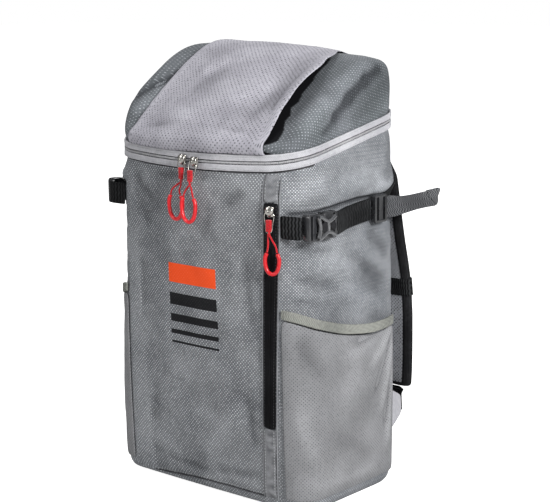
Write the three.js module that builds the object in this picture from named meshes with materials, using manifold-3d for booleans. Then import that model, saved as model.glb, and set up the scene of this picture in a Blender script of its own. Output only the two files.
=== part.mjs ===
// Cooler backpack: a padded tub with a zipped dome lid, a stowage flap over the lid, a front-corner zip,
// stretch side pockets, compression straps and two padded shoulder straps. Millimetres, +Z up, the front
// faces -Y, and the origin is the middle of the tub's flat bottom.
import * as THREE from "three";
import { mergeVertices } from "three/addons/utils/BufferGeometryUtils.js";
import Module from "manifold-3d";

const wasm = await Module();
wasm.setup();

// Tub
const baseWidth = 289;
const baseDepth = 177;
const baseFrontRadius = 24.6;
const baseBackRadius = 37.3;
const baseBulge = 2;
const rimWidth = 275.5;
const rimDepth = 186;
const rimFrontRadius = 35.3;
const rimBackRadius = 35.4;
const rimBulge = 22;
const rimHeight = 376;
const rimSlope = 0.197;
const padWall = 6;
const floorRound = 12;
const sideSwell = 3;
const gap = 0.5;

// Lid, its zip band and the flap on it
const lidRise = 106;
const lidWall = 4;
const bandHeight = 18;
const bandProud = 3;
const coilHeight = 2.6;
const tapeWall = 2.4;
const flapHalfWidth = 100;
const flapWall = 2;
const flapLift = 18;

// Front-corner zip
const seamAtBase = 86.5;
const seamAtRim = 100.4;
const stripWidth = 16;
const stripWall = 1.2;
const zipLow = 94;
const zipHigh = 342;

// Pull cords
const cordDiameter = 2;
const gripDiameter = 4.8;
const gripWidth = 21;
const wireDiameter = 1.3;
const wireLength = 22;
const wireWidth = 8;

// Side pockets
const pocketWall = 1.5;
const hemHeight = 11;
const hemWall = 2.2;
const sewnGap = 0.8;
const pocketFront = 116;
const pocketBack = 292;
const pocketHigh = 229;
const pocketBulge = 7.5;
const leftFill = 0.4;

// Compression straps
const webWidth = 25;
const webWall = 1.6;
const strapHeight = 317;
const strapRise = 6;
const leftRaise = 15;
const strapStart = 117;
const buckleStart = 133;
const buckleLength = 46;
const buckleSide = 2;
const buckleWidth = webWidth + 2 * buckleSide;
const buckleThick = 10;
const lockStart = 250;
const lockLength = 22;
const lockThick = 6;
const lockSide = 3;
const hardGap = 2.2;
const anchorEnd = 305;
const tailLength = 86;

// Back panel and shoulder straps
const backPadWidth = 206;
const backPadThick = 10;
const shoulderWidth = 62;
const shoulderThick = 9;
const shoulderOuter = 118;
const bandHigh = 226;
const bandTall = 21;
const lowerWebWidth = 20;
const tabLow = 50;
const tabHigh = 104;
const tabWall = 2;

const lerp = THREE.MathUtils.lerp;
const smoothstep = THREE.MathUtils.smoothstep;

// Height of the lid zip's lower edge over the floor, rising towards the back.
const rimZ = (y) => rimHeight + rimSlope * (y + rimDepth / 2);

const baseLevel = {
  width: baseWidth, depth: baseDepth, front: baseFrontRadius, back: baseBackRadius, bulge: baseBulge,
};
const rimLevel = {
  width: rimWidth, depth: rimDepth, front: rimFrontRadius, back: rimBackRadius, bulge: rimBulge,
};

function levelAt(share, grow) {
  const size = {};
  for (const key of Object.keys(baseLevel)) size[key] = lerp(baseLevel[key], rimLevel[key], share);
  size.width += 2 * grow;
  size.depth += 2 * grow;
  size.front = Math.max(size.front + grow, 4);
  size.back = Math.max(size.back + grow, 4);
  return size;
}

// The plan outline of one level. turn runs from 0 at the middle of the front, through 1 and 2 at the ends
// of the front corner, 3 and 4 at the ends of the back corner, to 5 at the middle of the back; negative
// turns are the left side.
function planPoint(size, turn) {
  const side = turn < 0 ? -1 : 1;
  const t = Math.abs(turn);
  const halfWidth = size.width / 2;
  const halfDepth = size.depth / 2;
  let x = halfWidth;
  let y = -halfDepth;
  if (t <= 1) x = t * (halfWidth - size.front);
  else if (t <= 2) {
    const angle = ((t - 2) * Math.PI) / 2;
    x = halfWidth - size.front + size.front * Math.cos(angle);
    y = -halfDepth + size.front + size.front * Math.sin(angle);
  } else if (t <= 3) y = lerp(-halfDepth + size.front, halfDepth - size.back, t - 2);
  else if (t <= 4) {
    const angle = ((t - 3) * Math.PI) / 2;
    x = halfWidth - size.back + size.back * Math.cos(angle);
    y = halfDepth - size.back + size.back * Math.sin(angle);
  } else {
    x = (halfWidth - size.back) * (5 - t);
    y = halfDepth;
  }
  const frontShare = THREE.MathUtils.clamp(-y / halfDepth, 0, 1);
  y -= size.bulge * (1 - (x / halfWidth) ** 2) * frontShare;
  return new THREE.Vector2(side * x, y);
}

// Even steps from one place to another, no longer than a given step.
const wrapStep = 6.5;
function stepsBetween(from, to, step) {
  const count = Math.max(1, Math.ceil((to - from) / step));
  return Array.from({ length: count + 1 }, (_, i) => lerp(from, to, i / count));
}

const halfTurns = [0, 0.25, 0.5, 0.75, 1, 1.25, 1.5, 1.75, 2, 2.25, 2.5, 2.75, 3, 3.25, 3.5, 3.75, 4, 4.5];
const ringTurns = [...halfTurns, 5, ...halfTurns.slice(1).reverse().map((t) => -t)];

// The compression straps press the side walls in, and the wall above them swells over the strap. The left
// strap sits higher than the right one.
const strapBase = (side) => strapHeight + (side < 0 ? leftRaise : 0);
const strapLine = (turn) => strapBase(turn) + strapRise * smoothstep(Math.abs(turn), 2, 3);
function strapDent(turn, z) {
  const t = Math.abs(turn);
  const onSide = smoothstep(t, 1.4, 2.1) * (1 - smoothstep(t, 3.3, 4));
  const away = Math.abs(z - strapLine(turn));
  const pressed = 1 - smoothstep(away, 0.52 * webWidth, 0.85 * webWidth);
  const above = (z - strapLine(turn) - 1.25 * webWidth) / (0.5 * webWidth);
  return sideSwell * onSide * (1.3 * Math.exp(-above * above) - 1.5 * pressed);
}

// The tub from the floor up: level is the share of the rim's height, tuck the share of the floor rounding
// by which the wall stands in, swell the share of the side swell by which it stands out.
const tubProfile = [
  { level: 0, tuck: 1, swell: 0 },
  { level: 0.006, tuck: 0.5, swell: 0 },
  { level: 0.022, tuck: 0.12, swell: 0 },
  { level: 0.05, tuck: 0, swell: 0 },
  { level: 0.18, tuck: 0, swell: 0.3 },
  { level: 0.34, tuck: 0, swell: 0.5 },
  { level: 0.5, tuck: 0, swell: 0.4 },
  { level: 0.64, tuck: 0, swell: 0.2 },
  ...stepsBetween(0.72, 0.95, 0.02).map((level) => ({ level, tuck: 0, swell: 0 })),
  { level: 0.975, tuck: 0.08, swell: 0 },
  { level: 0.992, tuck: 0.26, swell: 0 },
  { level: 1, tuck: 0.26, swell: 0 },
];

function tubGrow(level, turn) {
  let row = 1;
  while (row < tubProfile.length - 1 && tubProfile[row].level < level) row += 1;
  const low = tubProfile[row - 1];
  const high = tubProfile[row];
  const share = THREE.MathUtils.clamp((level - low.level) / (high.level - low.level), 0, 1);
  const tuck = lerp(low.tuck, high.tuck, share) * floorRound;
  const swell = lerp(low.swell, high.swell, share) * sideSwell;
  const z = level * rimZ(planPoint(levelAt(level, 0), turn).y);
  return swell - tuck + strapDent(turn, z);
}

// A point of the tub's wall at one level, inset into the wall by a depth and raised above the level.
function tubPoint(level, turn, inset = 0, raise = 0) {
  const plan = planPoint(levelAt(level, tubGrow(level, turn) - inset), turn);
  return new THREE.Vector3(plan.x, plan.y, level * rimZ(plan.y) + raise);
}

// The horizontal cut of one side of the tub's wall at height z, with x counted outwards: its corners,
// their outward directions, and the way to each from the middle of the front.
const cuts = new Map();
function cutAt(z, side) {
  const key = `${z.toFixed(2)} ${side}`;
  if (cuts.has(key)) return cuts.get(key);
  const points = [...halfTurns, 5].map((turn) => {
    const column = tubProfile.map(({ level }) => tubPoint(level, side * turn));
    for (const p of column) p.x *= side;
    let i = 1;
    while (i < column.length - 1 && column[i].z < z) i += 1;
    const share = (z - column[i - 1].z) / (column[i].z - column[i - 1].z);
    return new THREE.Vector2(lerp(column[i - 1].x, column[i].x, share), lerp(column[i - 1].y, column[i].y, share));
  });
  const last = points.length - 1;
  const outward = points.map((_, i) => {
    const before = i === 0 ? new THREE.Vector2(-points[1].x, points[1].y) : points[i - 1];
    const after = i === last ? new THREE.Vector2(-points[last - 1].x, points[last - 1].y) : points[i + 1];
    return new THREE.Vector2(after.y - before.y, before.x - after.x).normalize();
  });
  const along = [0];
  for (let i = 1; i <= last; i += 1) along.push(along[i - 1] + points[i].distanceTo(points[i - 1]));
  const cut = { points, outward, along };
  cuts.set(key, cut);
  return cut;
}

// The point of the wall at height z and way d from the middle of the front (right positive), standing out.
function wallPoint(z, d, out = 0) {
  const { points, outward, along } = cutAt(z, d < 0 ? -1 : 1);
  const way = Math.min(Math.abs(d), along[along.length - 1]);
  let i = 1;
  while (i < along.length - 1 && along[i] < way) i += 1;
  const share = (way - along[i - 1]) / (along[i] - along[i - 1]);
  const normal = outward[i - 1].clone().lerp(outward[i], share).normalize();
  const p = points[i - 1].clone().lerp(points[i], share).addScaledVector(normal, out);
  return new THREE.Vector3(d < 0 ? -p.x : p.x, p.y, z);
}

// A closed solid's geometry from its triangles, turned so that its faces point outwards.
function closedGeometry(positions, faces) {
  let volume = 0;
  for (const [a, b, c] of faces) {
    volume += positions[a].dot(new THREE.Vector3().crossVectors(positions[b], positions[c]));
  }
  const index = faces.flatMap(([a, b, c]) => (volume < 0 ? [a, c, b] : [a, b, c]));
  const geometry = new THREE.BufferGeometry();
  geometry.setAttribute("position", new THREE.Float32BufferAttribute(positions.flatMap((p) => p.toArray()), 3));
  geometry.setIndex(index);
  return geometry;
}

// A solid through closed rings of as many points each; a ring of one point closes an end to a tip, and
// other ends are closed flat round their middle.
function loft(rings) {
  const closeEnd = (ring) => {
    const middle = new THREE.Vector3();
    for (const p of ring) middle.addScaledVector(p, 1 / ring.length);
    return [middle];
  };
  const all = [...rings];
  if (all[0].length > 1) all.unshift(closeEnd(all[0]));
  if (all[all.length - 1].length > 1) all.push(closeEnd(all[all.length - 1]));
  const starts = [];
  const positions = [];
  for (const ring of all) {
    starts.push(positions.length);
    positions.push(...ring);
  }
  const faces = [];
  for (let r = 1; r < all.length; r += 1) {
    const count = Math.max(all[r - 1].length, all[r].length);
    const at = (k, i) => starts[k] + (all[k].length === 1 ? 0 : i % all[k].length);
    for (let i = 0; i < count; i += 1) {
      if (all[r].length > 1) faces.push([at(r - 1, i), at(r, i + 1), at(r, i)]);
      if (all[r - 1].length > 1) faces.push([at(r - 1, i), at(r - 1, i + 1), at(r, i + 1)]);
    }
  }
  return closedGeometry(positions, faces);
}

// A sheet with a thickness between two grids of points of the same size.
function sheet(front, back) {
  const rows = front.length;
  const columns = front[0].length;
  const positions = [...front.flat(), ...back.flat()];
  const at = (layer, r, c) => layer * rows * columns + r * columns + c;
  const faces = [];
  const quad = (a, b, c, d) => faces.push([a, b, c], [a, c, d]);
  for (let r = 1; r < rows; r += 1) {
    for (let c = 1; c < columns; c += 1) {
      quad(at(0, r - 1, c - 1), at(0, r - 1, c), at(0, r, c), at(0, r, c - 1));
      quad(at(1, r - 1, c - 1), at(1, r, c - 1), at(1, r, c), at(1, r - 1, c));
    }
  }
  for (let c = 1; c < columns; c += 1) {
    quad(at(0, 0, c), at(0, 0, c - 1), at(1, 0, c - 1), at(1, 0, c));
    quad(at(0, rows - 1, c - 1), at(0, rows - 1, c), at(1, rows - 1, c), at(1, rows - 1, c - 1));
  }
  for (let r = 1; r < rows; r += 1) {
    quad(at(0, r - 1, 0), at(0, r, 0), at(1, r, 0), at(1, r - 1, 0));
    quad(at(0, r, columns - 1), at(0, r - 1, columns - 1), at(1, r - 1, columns - 1), at(1, r, columns - 1));
  }
  return closedGeometry(positions, faces);
}

// A flat strip along centres, with the direction of its width at each.
function ribbon(path, width, thickness) {
  const rings = path.map(({ at, across }, i) => {
    const ahead = path[Math.min(i + 1, path.length - 1)].at.clone();
    const way = ahead.sub(path[Math.max(i - 1, 0)].at);
    const half = across.clone().normalize().multiplyScalar(width / 2);
    const lift = new THREE.Vector3().crossVectors(half, way).normalize().multiplyScalar(thickness / 2);
    return [
      at.clone().sub(half).sub(lift),
      at.clone().add(half).sub(lift),
      at.clone().add(half).add(lift),
      at.clone().sub(half).add(lift),
    ];
  });
  return loft(rings);
}

// A round section, and a tube of it along points.
const tubeSides = 8;
function roundSection(diameter) {
  return Array.from({ length: tubeSides }, (_, i) => {
    const angle = (2 * Math.PI * i) / tubeSides;
    return new THREE.Vector2(Math.cos(angle), Math.sin(angle)).multiplyScalar(diameter / 2);
  });
}

function tube(points, diameter, steps) {
  const extrudePath = new THREE.CatmullRomCurve3(points);
  return new THREE.ExtrudeGeometry(new THREE.Shape(roundSection(diameter)), { steps, extrudePath, bevelEnabled: false });
}

// A tube along points whose end meets its start.
function closedTube(points, diameter, steps) {
  const curve = new THREE.CatmullRomCurve3(points, true);
  const { normals, binormals } = curve.computeFrenetFrames(steps, true);
  const positions = [];
  for (let k = 0; k < steps; k += 1) {
    for (const { x, y } of roundSection(diameter)) {
      positions.push(curve.getPointAt(k / steps).addScaledVector(normals[k], x).addScaledVector(binormals[k], y));
    }
  }
  const at = (k, i) => (k % steps) * tubeSides + (i % tubeSides);
  const faces = [];
  for (let k = 0; k < steps; k += 1) {
    for (let i = 0; i < tubeSides; i += 1) {
      faces.push([at(k, i), at(k + 1, i), at(k + 1, i + 1)]);
      faces.push([at(k, i), at(k + 1, i + 1), at(k, i + 1)]);
    }
  }
  return closedGeometry(positions, faces);
}

// Hard pieces are cut and joined as solids.
function solidOf(geometry) {
  const bare = geometry.index ? geometry.toNonIndexed() : geometry.clone();
  bare.deleteAttribute("normal");
  bare.deleteAttribute("uv");
  const merged = mergeVertices(bare, 1e-4);
  const mesh = new wasm.Mesh({
    numProp: 3,
    vertProperties: new Float32Array(merged.attributes.position.array),
    triVerts: new Uint32Array(merged.index.array),
  });
  return new wasm.Manifold(mesh);
}

function geometryOf(solid) {
  const { numProp, vertProperties, triVerts } = solid.getMesh();
  const positions = [];
  for (let i = 0; i < vertProperties.length; i += numProp) {
    positions.push(vertProperties[i], vertProperties[i + 1], vertProperties[i + 2]);
  }
  const geometry = new THREE.BufferGeometry();
  geometry.setAttribute("position", new THREE.Float32BufferAttribute(positions, 3));
  geometry.setIndex(Array.from(triVerts));
  return geometry;
}

// A plate in the XY plane with rounded corners, its thickness along Z from its middle.
function plate(width, height, thickness, radius, x = 0, y = 0, z = 0) {
  const shape = new THREE.Shape();
  const w = width / 2 - radius;
  const h = height / 2 - radius;
  shape.absarc(w, -h, radius, -Math.PI / 2, 0);
  shape.absarc(w, h, radius, 0, Math.PI / 2);
  shape.absarc(-w, h, radius, Math.PI / 2, Math.PI);
  shape.absarc(-w, -h, radius, Math.PI, 1.5 * Math.PI);
  const geometry = new THREE.ExtrudeGeometry(shape, { depth: thickness, bevelEnabled: false, curveSegments: 2 });
  return geometry.translate(x, y, z - thickness / 2);
}

// Materials
const material = (color, roughness, metalness = 0) => new THREE.MeshStandardMaterial({ color, roughness, metalness });
const greyWeave = material(0x9da0a3, 0.85);
const lidWeave = material(0x8f9296, 0.8);
const flapWeave = material(0xa8a7ad, 0.8);
const greyTape = material(0xa9a9ab, 0.75);
const blackZip = material(0x232326, 0.7);
const hemBinding = material(0xbfc0b4, 0.8);
const pocketMesh = material(0xadafae, 0.85);
const blackWebbing = material(0x3b3c3f, 0.75);
const blackPlastic = material(0x2c2d30, 0.35);
const nickel = material(0xb9b6ae, 0.25, 1);
const redCord = material(0xcf1820, 0.6);
const redGrip = material(0xe02428, 0.4);
const airMesh = material(0x8b8d92, 0.9);
const greyTab = material(0xa2a6a7, 0.85);

const bag = new THREE.Group();
function add(name, geometry, finish, parent = bag) {
  const mesh = new THREE.Mesh(geometry, finish);
  mesh.name = name;
  parent.add(mesh);
  return mesh;
}

// Tub: a padded wall, open at the top, whose upper edge stands half the zip band above the rim line.
const jointRaise = bandHeight / 2;
function tubShell() {
  const ring = (level, inset, raise) => ringTurns.map((turn) => tubPoint(level, turn, inset, raise));
  const outer = tubProfile.map(({ level }) => ring(level, 0, 0));
  const inner = tubProfile.slice(3).map(({ level }) => ring(level, padWall, 0)).reverse();
  const floor = ring(tubProfile[1].level, padWall + floorRound / 2, 0);
  for (const p of floor) p.z = padWall;
  return loft([
    [new THREE.Vector3(0, 0, 0)],
    ...outer,
    ring(1, 0, jointRaise),
    ring(1, padWall, jointRaise),
    ...inner,
    floor,
    [new THREE.Vector3(0, 0, padWall)],
  ]);
}
add("body_shell", tubShell(), greyWeave);

// Lid roof heights over the rim's front, as shares of the lid's rise: at is the place from front to back
// as a share of the rim's half depth, and the columns run from the left ridge to the right one. lift is
// how far the flap's right edge stands off the roof, as a share of the greatest lift.
const lidMiddle = -8;
const roofColumns = [-0.95, -0.7, 0, 0.7, 0.93];
const roofTable = [
  { at: -1.22, heights: [0.1, 0.08, 0.13, 0.08, 0.1], lift: 0 },
  { at: -1, heights: [0.2, 0.14, 0.27, 0.13, 0.12], lift: 0.12 },
  { at: -0.82, heights: [0.36, 0.29, 0.4, 0.28, 0.25], lift: 0.5 },
  { at: -0.59, heights: [0.56, 0.45, 0.53, 0.42, 0.38], lift: 0.95 },
  { at: -0.39, heights: [0.68, 0.58, 0.64, 0.53, 0.49], lift: 1 },
  { at: -0.19, heights: [0.8, 0.71, 0.74, 0.65, 0.61], lift: 0.83 },
  { at: 0.04, heights: [0.925, 0.835, 0.85, 0.79, 0.755], lift: 0.45 },
  { at: 0.26, heights: [0.985, 0.935, 0.93, 0.87, 0.845], lift: 0.17 },
  { at: 0.48, heights: [1, 0.985, 0.955, 0.905, 0.88], lift: 0.05 },
  { at: 0.75, heights: [0.97, 0.97, 0.945, 0.88, 0.85], lift: 0 },
  { at: 1, heights: [0.83, 0.85, 0.84, 0.8, 0.78], lift: 0 },
];

// A smooth curve through values at rising places.
function smoothAt(places, values, place) {
  const last = places.length - 1;
  const p = THREE.MathUtils.clamp(place, places[0], places[last]);
  let i = 0;
  while (i < last - 1 && places[i + 1] < p) i += 1;
  const slope = (k) => {
    const a = Math.max(k - 1, 0);
    const b = Math.min(k + 1, last);
    return (values[b] - values[a]) / (places[b] - places[a]);
  };
  const span = places[i + 1] - places[i];
  const t = (p - places[i]) / span;
  const keep = (1 + 2 * t) * (1 - t) ** 2 * values[i] + t * t * (3 - 2 * t) * values[i + 1];
  return keep + span * (t * (1 - t) ** 2 * slope(i) - t * t * (1 - t) * slope(i + 1));
}

const roofPlaces = roofTable.map((row) => row.at);
function roofZ(x, y) {
  const place = y / (rimDepth / 2);
  const across = x / (rimWidth / 2);
  const column = roofColumns.map((_, c) => smoothAt(roofPlaces, roofTable.map((row) => row.heights[c]), place));
  return rimHeight + bandHeight + lidRise * smoothAt(roofColumns, column, across);
}
const liftAt = (y) => flapLift * smoothAt(roofPlaces, roofTable.map((row) => row.lift), y / (rimDepth / 2));

// The lid above its zip band: inset is the share of the way to the middle, rise the share of the way up
// from the band to the roof, tuck the share of the band's proud height by which the wall stands in.
const lidProfile = [
  { inset: 0, rise: 0, tuck: 1 },
  { inset: 0, rise: 0.12, tuck: 0.6 },
  { inset: 0, rise: 0.34, tuck: 0.25 },
  { inset: 0, rise: 0.6, tuck: 0.05 },
  { inset: 0.008, rise: 0.81, tuck: 0 },
  { inset: 0.03, rise: 0.925, tuck: 0 },
  { inset: 0.07, rise: 0.985, tuck: 0 },
  { inset: 0.13, rise: 1, tuck: 0 },
  { inset: 0.24, rise: 1, tuck: 0 },
  { inset: 0.37, rise: 1, tuck: 0 },
  { inset: 0.52, rise: 1, tuck: 0 },
  { inset: 0.7, rise: 1, tuck: 0 },
];
const lidBaseZ = (y) => rimZ(y) + jointRaise + gap;
const bandTopZ = (y) => rimZ(y) + bandHeight;

function lidPoint(row, turn, inward) {
  const plan = planPoint(levelAt(1, -row.tuck * bandProud - inward), turn);
  const x = plan.x * (1 - row.inset);
  const y = lidMiddle + (plan.y - lidMiddle) * (1 - row.inset);
  const top = roofZ(x, y) - inward;
  return new THREE.Vector3(x, y, lerp(bandTopZ(y), top, row.rise));
}

function lidShell() {
  const ring = (row, inward) => ringTurns.map((turn) => lidPoint(row, turn, inward));
  const base = (inward) => ring(lidProfile[0], inward).map((p) => p.setZ(lidBaseZ(p.y)));
  const outer = [base(0), ...lidProfile.map((row) => ring(row, 0))];
  const inner = [base(lidWall), ...lidProfile.map((row) => ring(row, lidWall))];
  const top = roofZ(0, lidMiddle);
  return loft([
    [new THREE.Vector3(0, lidMiddle, top)],
    ...outer.reverse(),
    ...inner,
    [new THREE.Vector3(0, lidMiddle, top - lidWall)],
  ]);
}
add("lid_shell", lidShell(), lidWeave);

// Zip band: a tape sewn to the tub, the coil, and a tape sewn to the lid, round the front and both sides.
const bandEnd = 3.8;
const bandTurns = ringTurns.filter((t) => Math.abs(t) < bandEnd && Math.abs(t) < 5);
const bandPath = [...bandTurns.filter((t) => t < 0), ...bandTurns.filter((t) => t >= 0)];
function band(low, high, out, wall) {
  const grid = (grow) => [low, high].map((raise) => bandPath.map((turn) => {
    const plan = planPoint(levelAt(1, grow), turn);
    return new THREE.Vector3(plan.x, plan.y, rimZ(plan.y) + raise);
  }));
  return sheet(grid(out), grid(out - wall));
}
const tapeHeight = (bandHeight - coilHeight) / 2 - gap;
const bandOut = 0;
add("zip_tape_lower", band(0, tapeHeight, bandOut, tapeWall), greyTape);
add("zip_coil", band(tapeHeight + gap, bandHeight - tapeHeight - gap, bandOut - 0.5, tapeWall - 0.5), greyTape);
add("zip_tape_upper", band(bandHeight - tapeHeight, bandHeight, bandOut, tapeWall), greyTape);

// Flap: a wide panel sewn at the band in front and at the back, taut over the roof, its right edge
// standing off the lid.
function lidProfileAt(x) {
  const row = lidProfile.filter(({ inset }) => inset < 0.2);
  const edge = (r, side) => {
    const size = levelAt(1, -r.tuck * bandProud);
    const reach = Math.abs(x) / (1 - r.inset);
    const radius = side < 0 ? size.front : size.back;
    const over = Math.max(reach - (size.width / 2 - radius), 0);
    let y = size.depth / 2 - radius + Math.sqrt(Math.max(radius * radius - over * over, 0));
    if (side < 0) y += size.bulge * (1 - (reach / (size.width / 2)) ** 2) * (y / (size.depth / 2));
    const placed = lidMiddle + (side * y - lidMiddle) * (1 - r.inset);
    return new THREE.Vector2(placed, lerp(bandTopZ(placed), roofZ(x, placed), r.rise));
  };
  const front = row.map((r) => edge(r, -1));
  const back = row.map((r) => edge(r, 1)).reverse();
  const steps = 9;
  const roof = [];
  for (let i = 1; i < steps; i += 1) {
    const y = lerp(front[front.length - 1].x, back[0].x, i / steps);
    roof.push(new THREE.Vector2(y, roofZ(x, y)));
  }
  return [...front, ...roof, ...back];
}

function flapRow(share, stand) {
  const x = share * flapHalfWidth;
  const profile = lidProfileAt(x);
  const points = profile.map((p, i) => {
    const before = profile[Math.max(i - 1, 0)];
    const after = profile[Math.min(i + 1, profile.length - 1)];
    const way = after.clone().sub(before).normalize();
    const lift = liftAt(p.x) * smoothstep(share, 0.55, 1) + flapLift * 0.06 * Math.sin(Math.PI * (i / (profile.length - 1)));
    const out = stand + sewnGap + lift;
    return new THREE.Vector3(x, p.x - way.y * out, p.y + way.x * out);
  });
  points[0].z = bandTopZ(points[0].y) + gap;
  points[points.length - 1].z = bandTopZ(points[points.length - 1].y) + gap;
  return points;
}
const flapShares = stepsBetween(-1, 1, 0.13);
add("lid_flap", sheet(
  flapShares.map((share) => flapRow(share, flapWall)),
  flapShares.map((share) => flapRow(share, 0)),
), flapWeave);

// Front-corner zip: a black zip between a grey tab above it and a grey strip below it.
const seamAt = (z) => lerp(seamAtBase, seamAtRim, z / rimHeight);
function cornerStrip(low, high, wall) {
  const levels = tubProfile.map(({ level }) => level * rimZ(-rimDepth / 2));
  const heights = [low, ...levels.filter((z) => z > low + 1 && z < high - 1), high];
  const across = stepsBetween(0, 1, 0.17);
  const grid = (out) => heights.map((z) => across.map((a) => wallPoint(z, seamAt(z) + a * stripWidth, out)));
  return sheet(grid(gap + wall), grid(gap));
}
const stripLow = 14;
const stripTop = rimZ(-rimDepth / 2 - rimBulge * 0.45) - 2;
add("strip_lower", cornerStrip(stripLow, zipLow - gap, stripWall), greyTape);
add("corner_zip", cornerStrip(zipLow, zipHigh, stripWall), blackZip);
add("tab_upper", cornerStrip(zipHigh + gap, stripTop, stripWall), greyTape);

// Zip sliders with their wire pulls, cord loops and grips. Each hangs against the wall below its slider:
// at is the way along the wall from the middle of the front, up the slider's height as a share of the zip
// band's height or of the corner zip's, drop the height from the slider to the bottom of the grip, slant the way the grip swings to one side.
const pulls = [
  { name: "lid_left", at: -4, up: 0.52, drop: 68, slant: -9, out: 5.5, width: gripWidth * 1.2 },
  { name: "lid_right", at: 13.5, up: 0.44, drop: 67, slant: -3, out: 10.5, width: gripWidth * 1.2 },
  { name: "corner", at: 107.5, up: 0.964, drop: 68, slant: 3.5, out: 6.5, width: gripWidth },
];
const sliderDepth = 5;
const sliderWidth = 9;
const sliderHeight = 11;
const eyeHeight = 5.4;
for (const pull of pulls) {
  const onLid = pull.name !== "corner";
  const seat = onLid ? planPoint(levelAt(1, bandOut), pull.at / (rimWidth / 2 - rimFrontRadius)) : null;
  const top = onLid ? rimZ(seat.y) + pull.up * bandHeight : lerp(zipLow, zipHigh, pull.up);
  const base = onLid ? new THREE.Vector3(seat.x, seat.y, top) : wallPoint(top, pull.at, gap + stripWall);
  const away = onLid
    ? new THREE.Vector3(0, -1, 0)
    : wallPoint(top, pull.at, 1).sub(wallPoint(top, pull.at, 0)).normalize();
  const along = new THREE.Vector3(-away.y, away.x, 0);
  const place = (side, out, z) => base.clone()
    .addScaledVector(along, side)
    .addScaledVector(away, out)
    .setZ(top + z);
  const frame = new THREE.Matrix4().makeBasis(along, new THREE.Vector3(0, 0, 1), away)
    .setPosition(place(0, gap + sliderDepth / 2, 0));
  const body = solidOf(plate(sliderWidth, sliderHeight, sliderDepth, 3));
  const eye = solidOf(plate(sliderWidth + 2, eyeHeight, 2.8, 1, 0, 0, sliderDepth / 2 - 0.9));
  add(`slider_${pull.name}`, geometryOf(body.subtract(eye)).applyMatrix4(frame), nickel);
  const wireOut = gap + sliderDepth - 0.9;
  const hang = pull.out - wireOut;
  const wirePath = [
    place(-wireWidth * 0.42, wireOut, 0),
    place(0, wireOut, 0),
    place(wireWidth * 0.42, wireOut, 0),
    place(wireWidth * 0.5 + 1.4, wireOut + 0.3 * hang, -2.5),
    place(wireWidth * 0.5, wireOut + 0.6 * hang, -wireLength * 0.6),
    place(wireWidth * 0.36, wireOut + hang, -wireLength + 1.4),
    place(0, wireOut + hang, -wireLength),
    place(-wireWidth * 0.36, wireOut + hang, -wireLength + 1.4),
    place(-wireWidth * 0.5, wireOut + 0.6 * hang, -wireLength * 0.6),
    place(-wireWidth * 0.5 - 1.4, wireOut + 0.3 * hang, -2.5),
  ];
  add(`wire_${pull.name}`, closedTube(wirePath, wireDiameter, 24), nickel);
  const gripTop = -pull.drop + pull.width * 0.95;
  const middle = pull.slant;
  const half = pull.width / 2 - gripDiameter / 2;
  const low = -pull.drop + gripDiameter / 2;
  const grip = [
    place(middle - half * 0.72, pull.out, gripTop + 5),
    place(middle - half * 0.98, pull.out, gripTop),
    place(middle - half * 0.92, pull.out, lerp(gripTop, low, 0.5)),
    place(middle - half * 0.6, pull.out, lerp(gripTop, low, 0.85)),
    place(middle, pull.out, low),
    place(middle + half * 0.6, pull.out, lerp(gripTop, low, 0.85)),
    place(middle + half * 0.92, pull.out, lerp(gripTop, low, 0.5)),
    place(middle + half * 0.98, pull.out, gripTop),
    place(middle + half * 0.72, pull.out, gripTop + 5),
  ];
  add(`grip_${pull.name}`, tube(grip, gripDiameter, 18), redGrip);
  const loopLow = -wireLength + wireDiameter / 2 + cordDiameter / 2 + gap;
  const overBar = (wireDiameter + cordDiameter) / 2 + 0.7;
  const cordEnd = gripTop + 5 + gap + 0.4;
  const cord = [
    place(middle - half * 0.7, pull.out, cordEnd),
    place(middle - half * 0.56, pull.out, lerp(cordEnd, loopLow, 0.25)),
    place(lerp(middle, 0, 0.6) - half * 0.3, pull.out - 0.4, lerp(cordEnd, loopLow, 0.6)),
    place(-1.6, pull.out - overBar, loopLow - 2.8),
    place(-1.2, pull.out - overBar, loopLow - 0.9),
    place(0, pull.out, loopLow + 0.3),
    place(1.2, pull.out + overBar, loopLow - 0.9),
    place(1.6, pull.out + overBar, loopLow - 2.8),
    place(lerp(middle, 0, 0.6) + half * 0.3, pull.out + 0.4, lerp(cordEnd, loopLow, 0.6)),
    place(middle + half * 0.56, pull.out, lerp(cordEnd, loopLow, 0.25)),
    place(middle + half * 0.7, pull.out, cordEnd),
  ];
  add(`cord_${pull.name}`, tube(cord, cordDiameter, 28), redCord);
}

// Side pockets: a stretch mesh panel sewn in at the front zip, the back corner and the bottom, and a
// bound elastic hem that sags towards the back.
// way is the share from the front seam to the back seam, drop the hem's sag as a share of the pocket's
// height, bulge the share of the pocket's bulge.
const pocketColumns = [
  { way: 0, drop: 0, bulge: 0 },
  { way: 0.11, drop: 0.02, bulge: 0.4 },
  { way: 0.22, drop: 0.055, bulge: 0.75 },
  { way: 0.35, drop: 0.09, bulge: 1 },
  { way: 0.48, drop: 0.115, bulge: 1 },
  { way: 0.6, drop: 0.13, bulge: 1 },
  { way: 0.72, drop: 0.142, bulge: 0.85 },
  { way: 0.83, drop: 0.145, bulge: 0.55 },
  { way: 0.92, drop: 0.144, bulge: 0.25 },
  { way: 1, drop: 0.143, bulge: 0 },
];
const pocketLow = 16;
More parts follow.
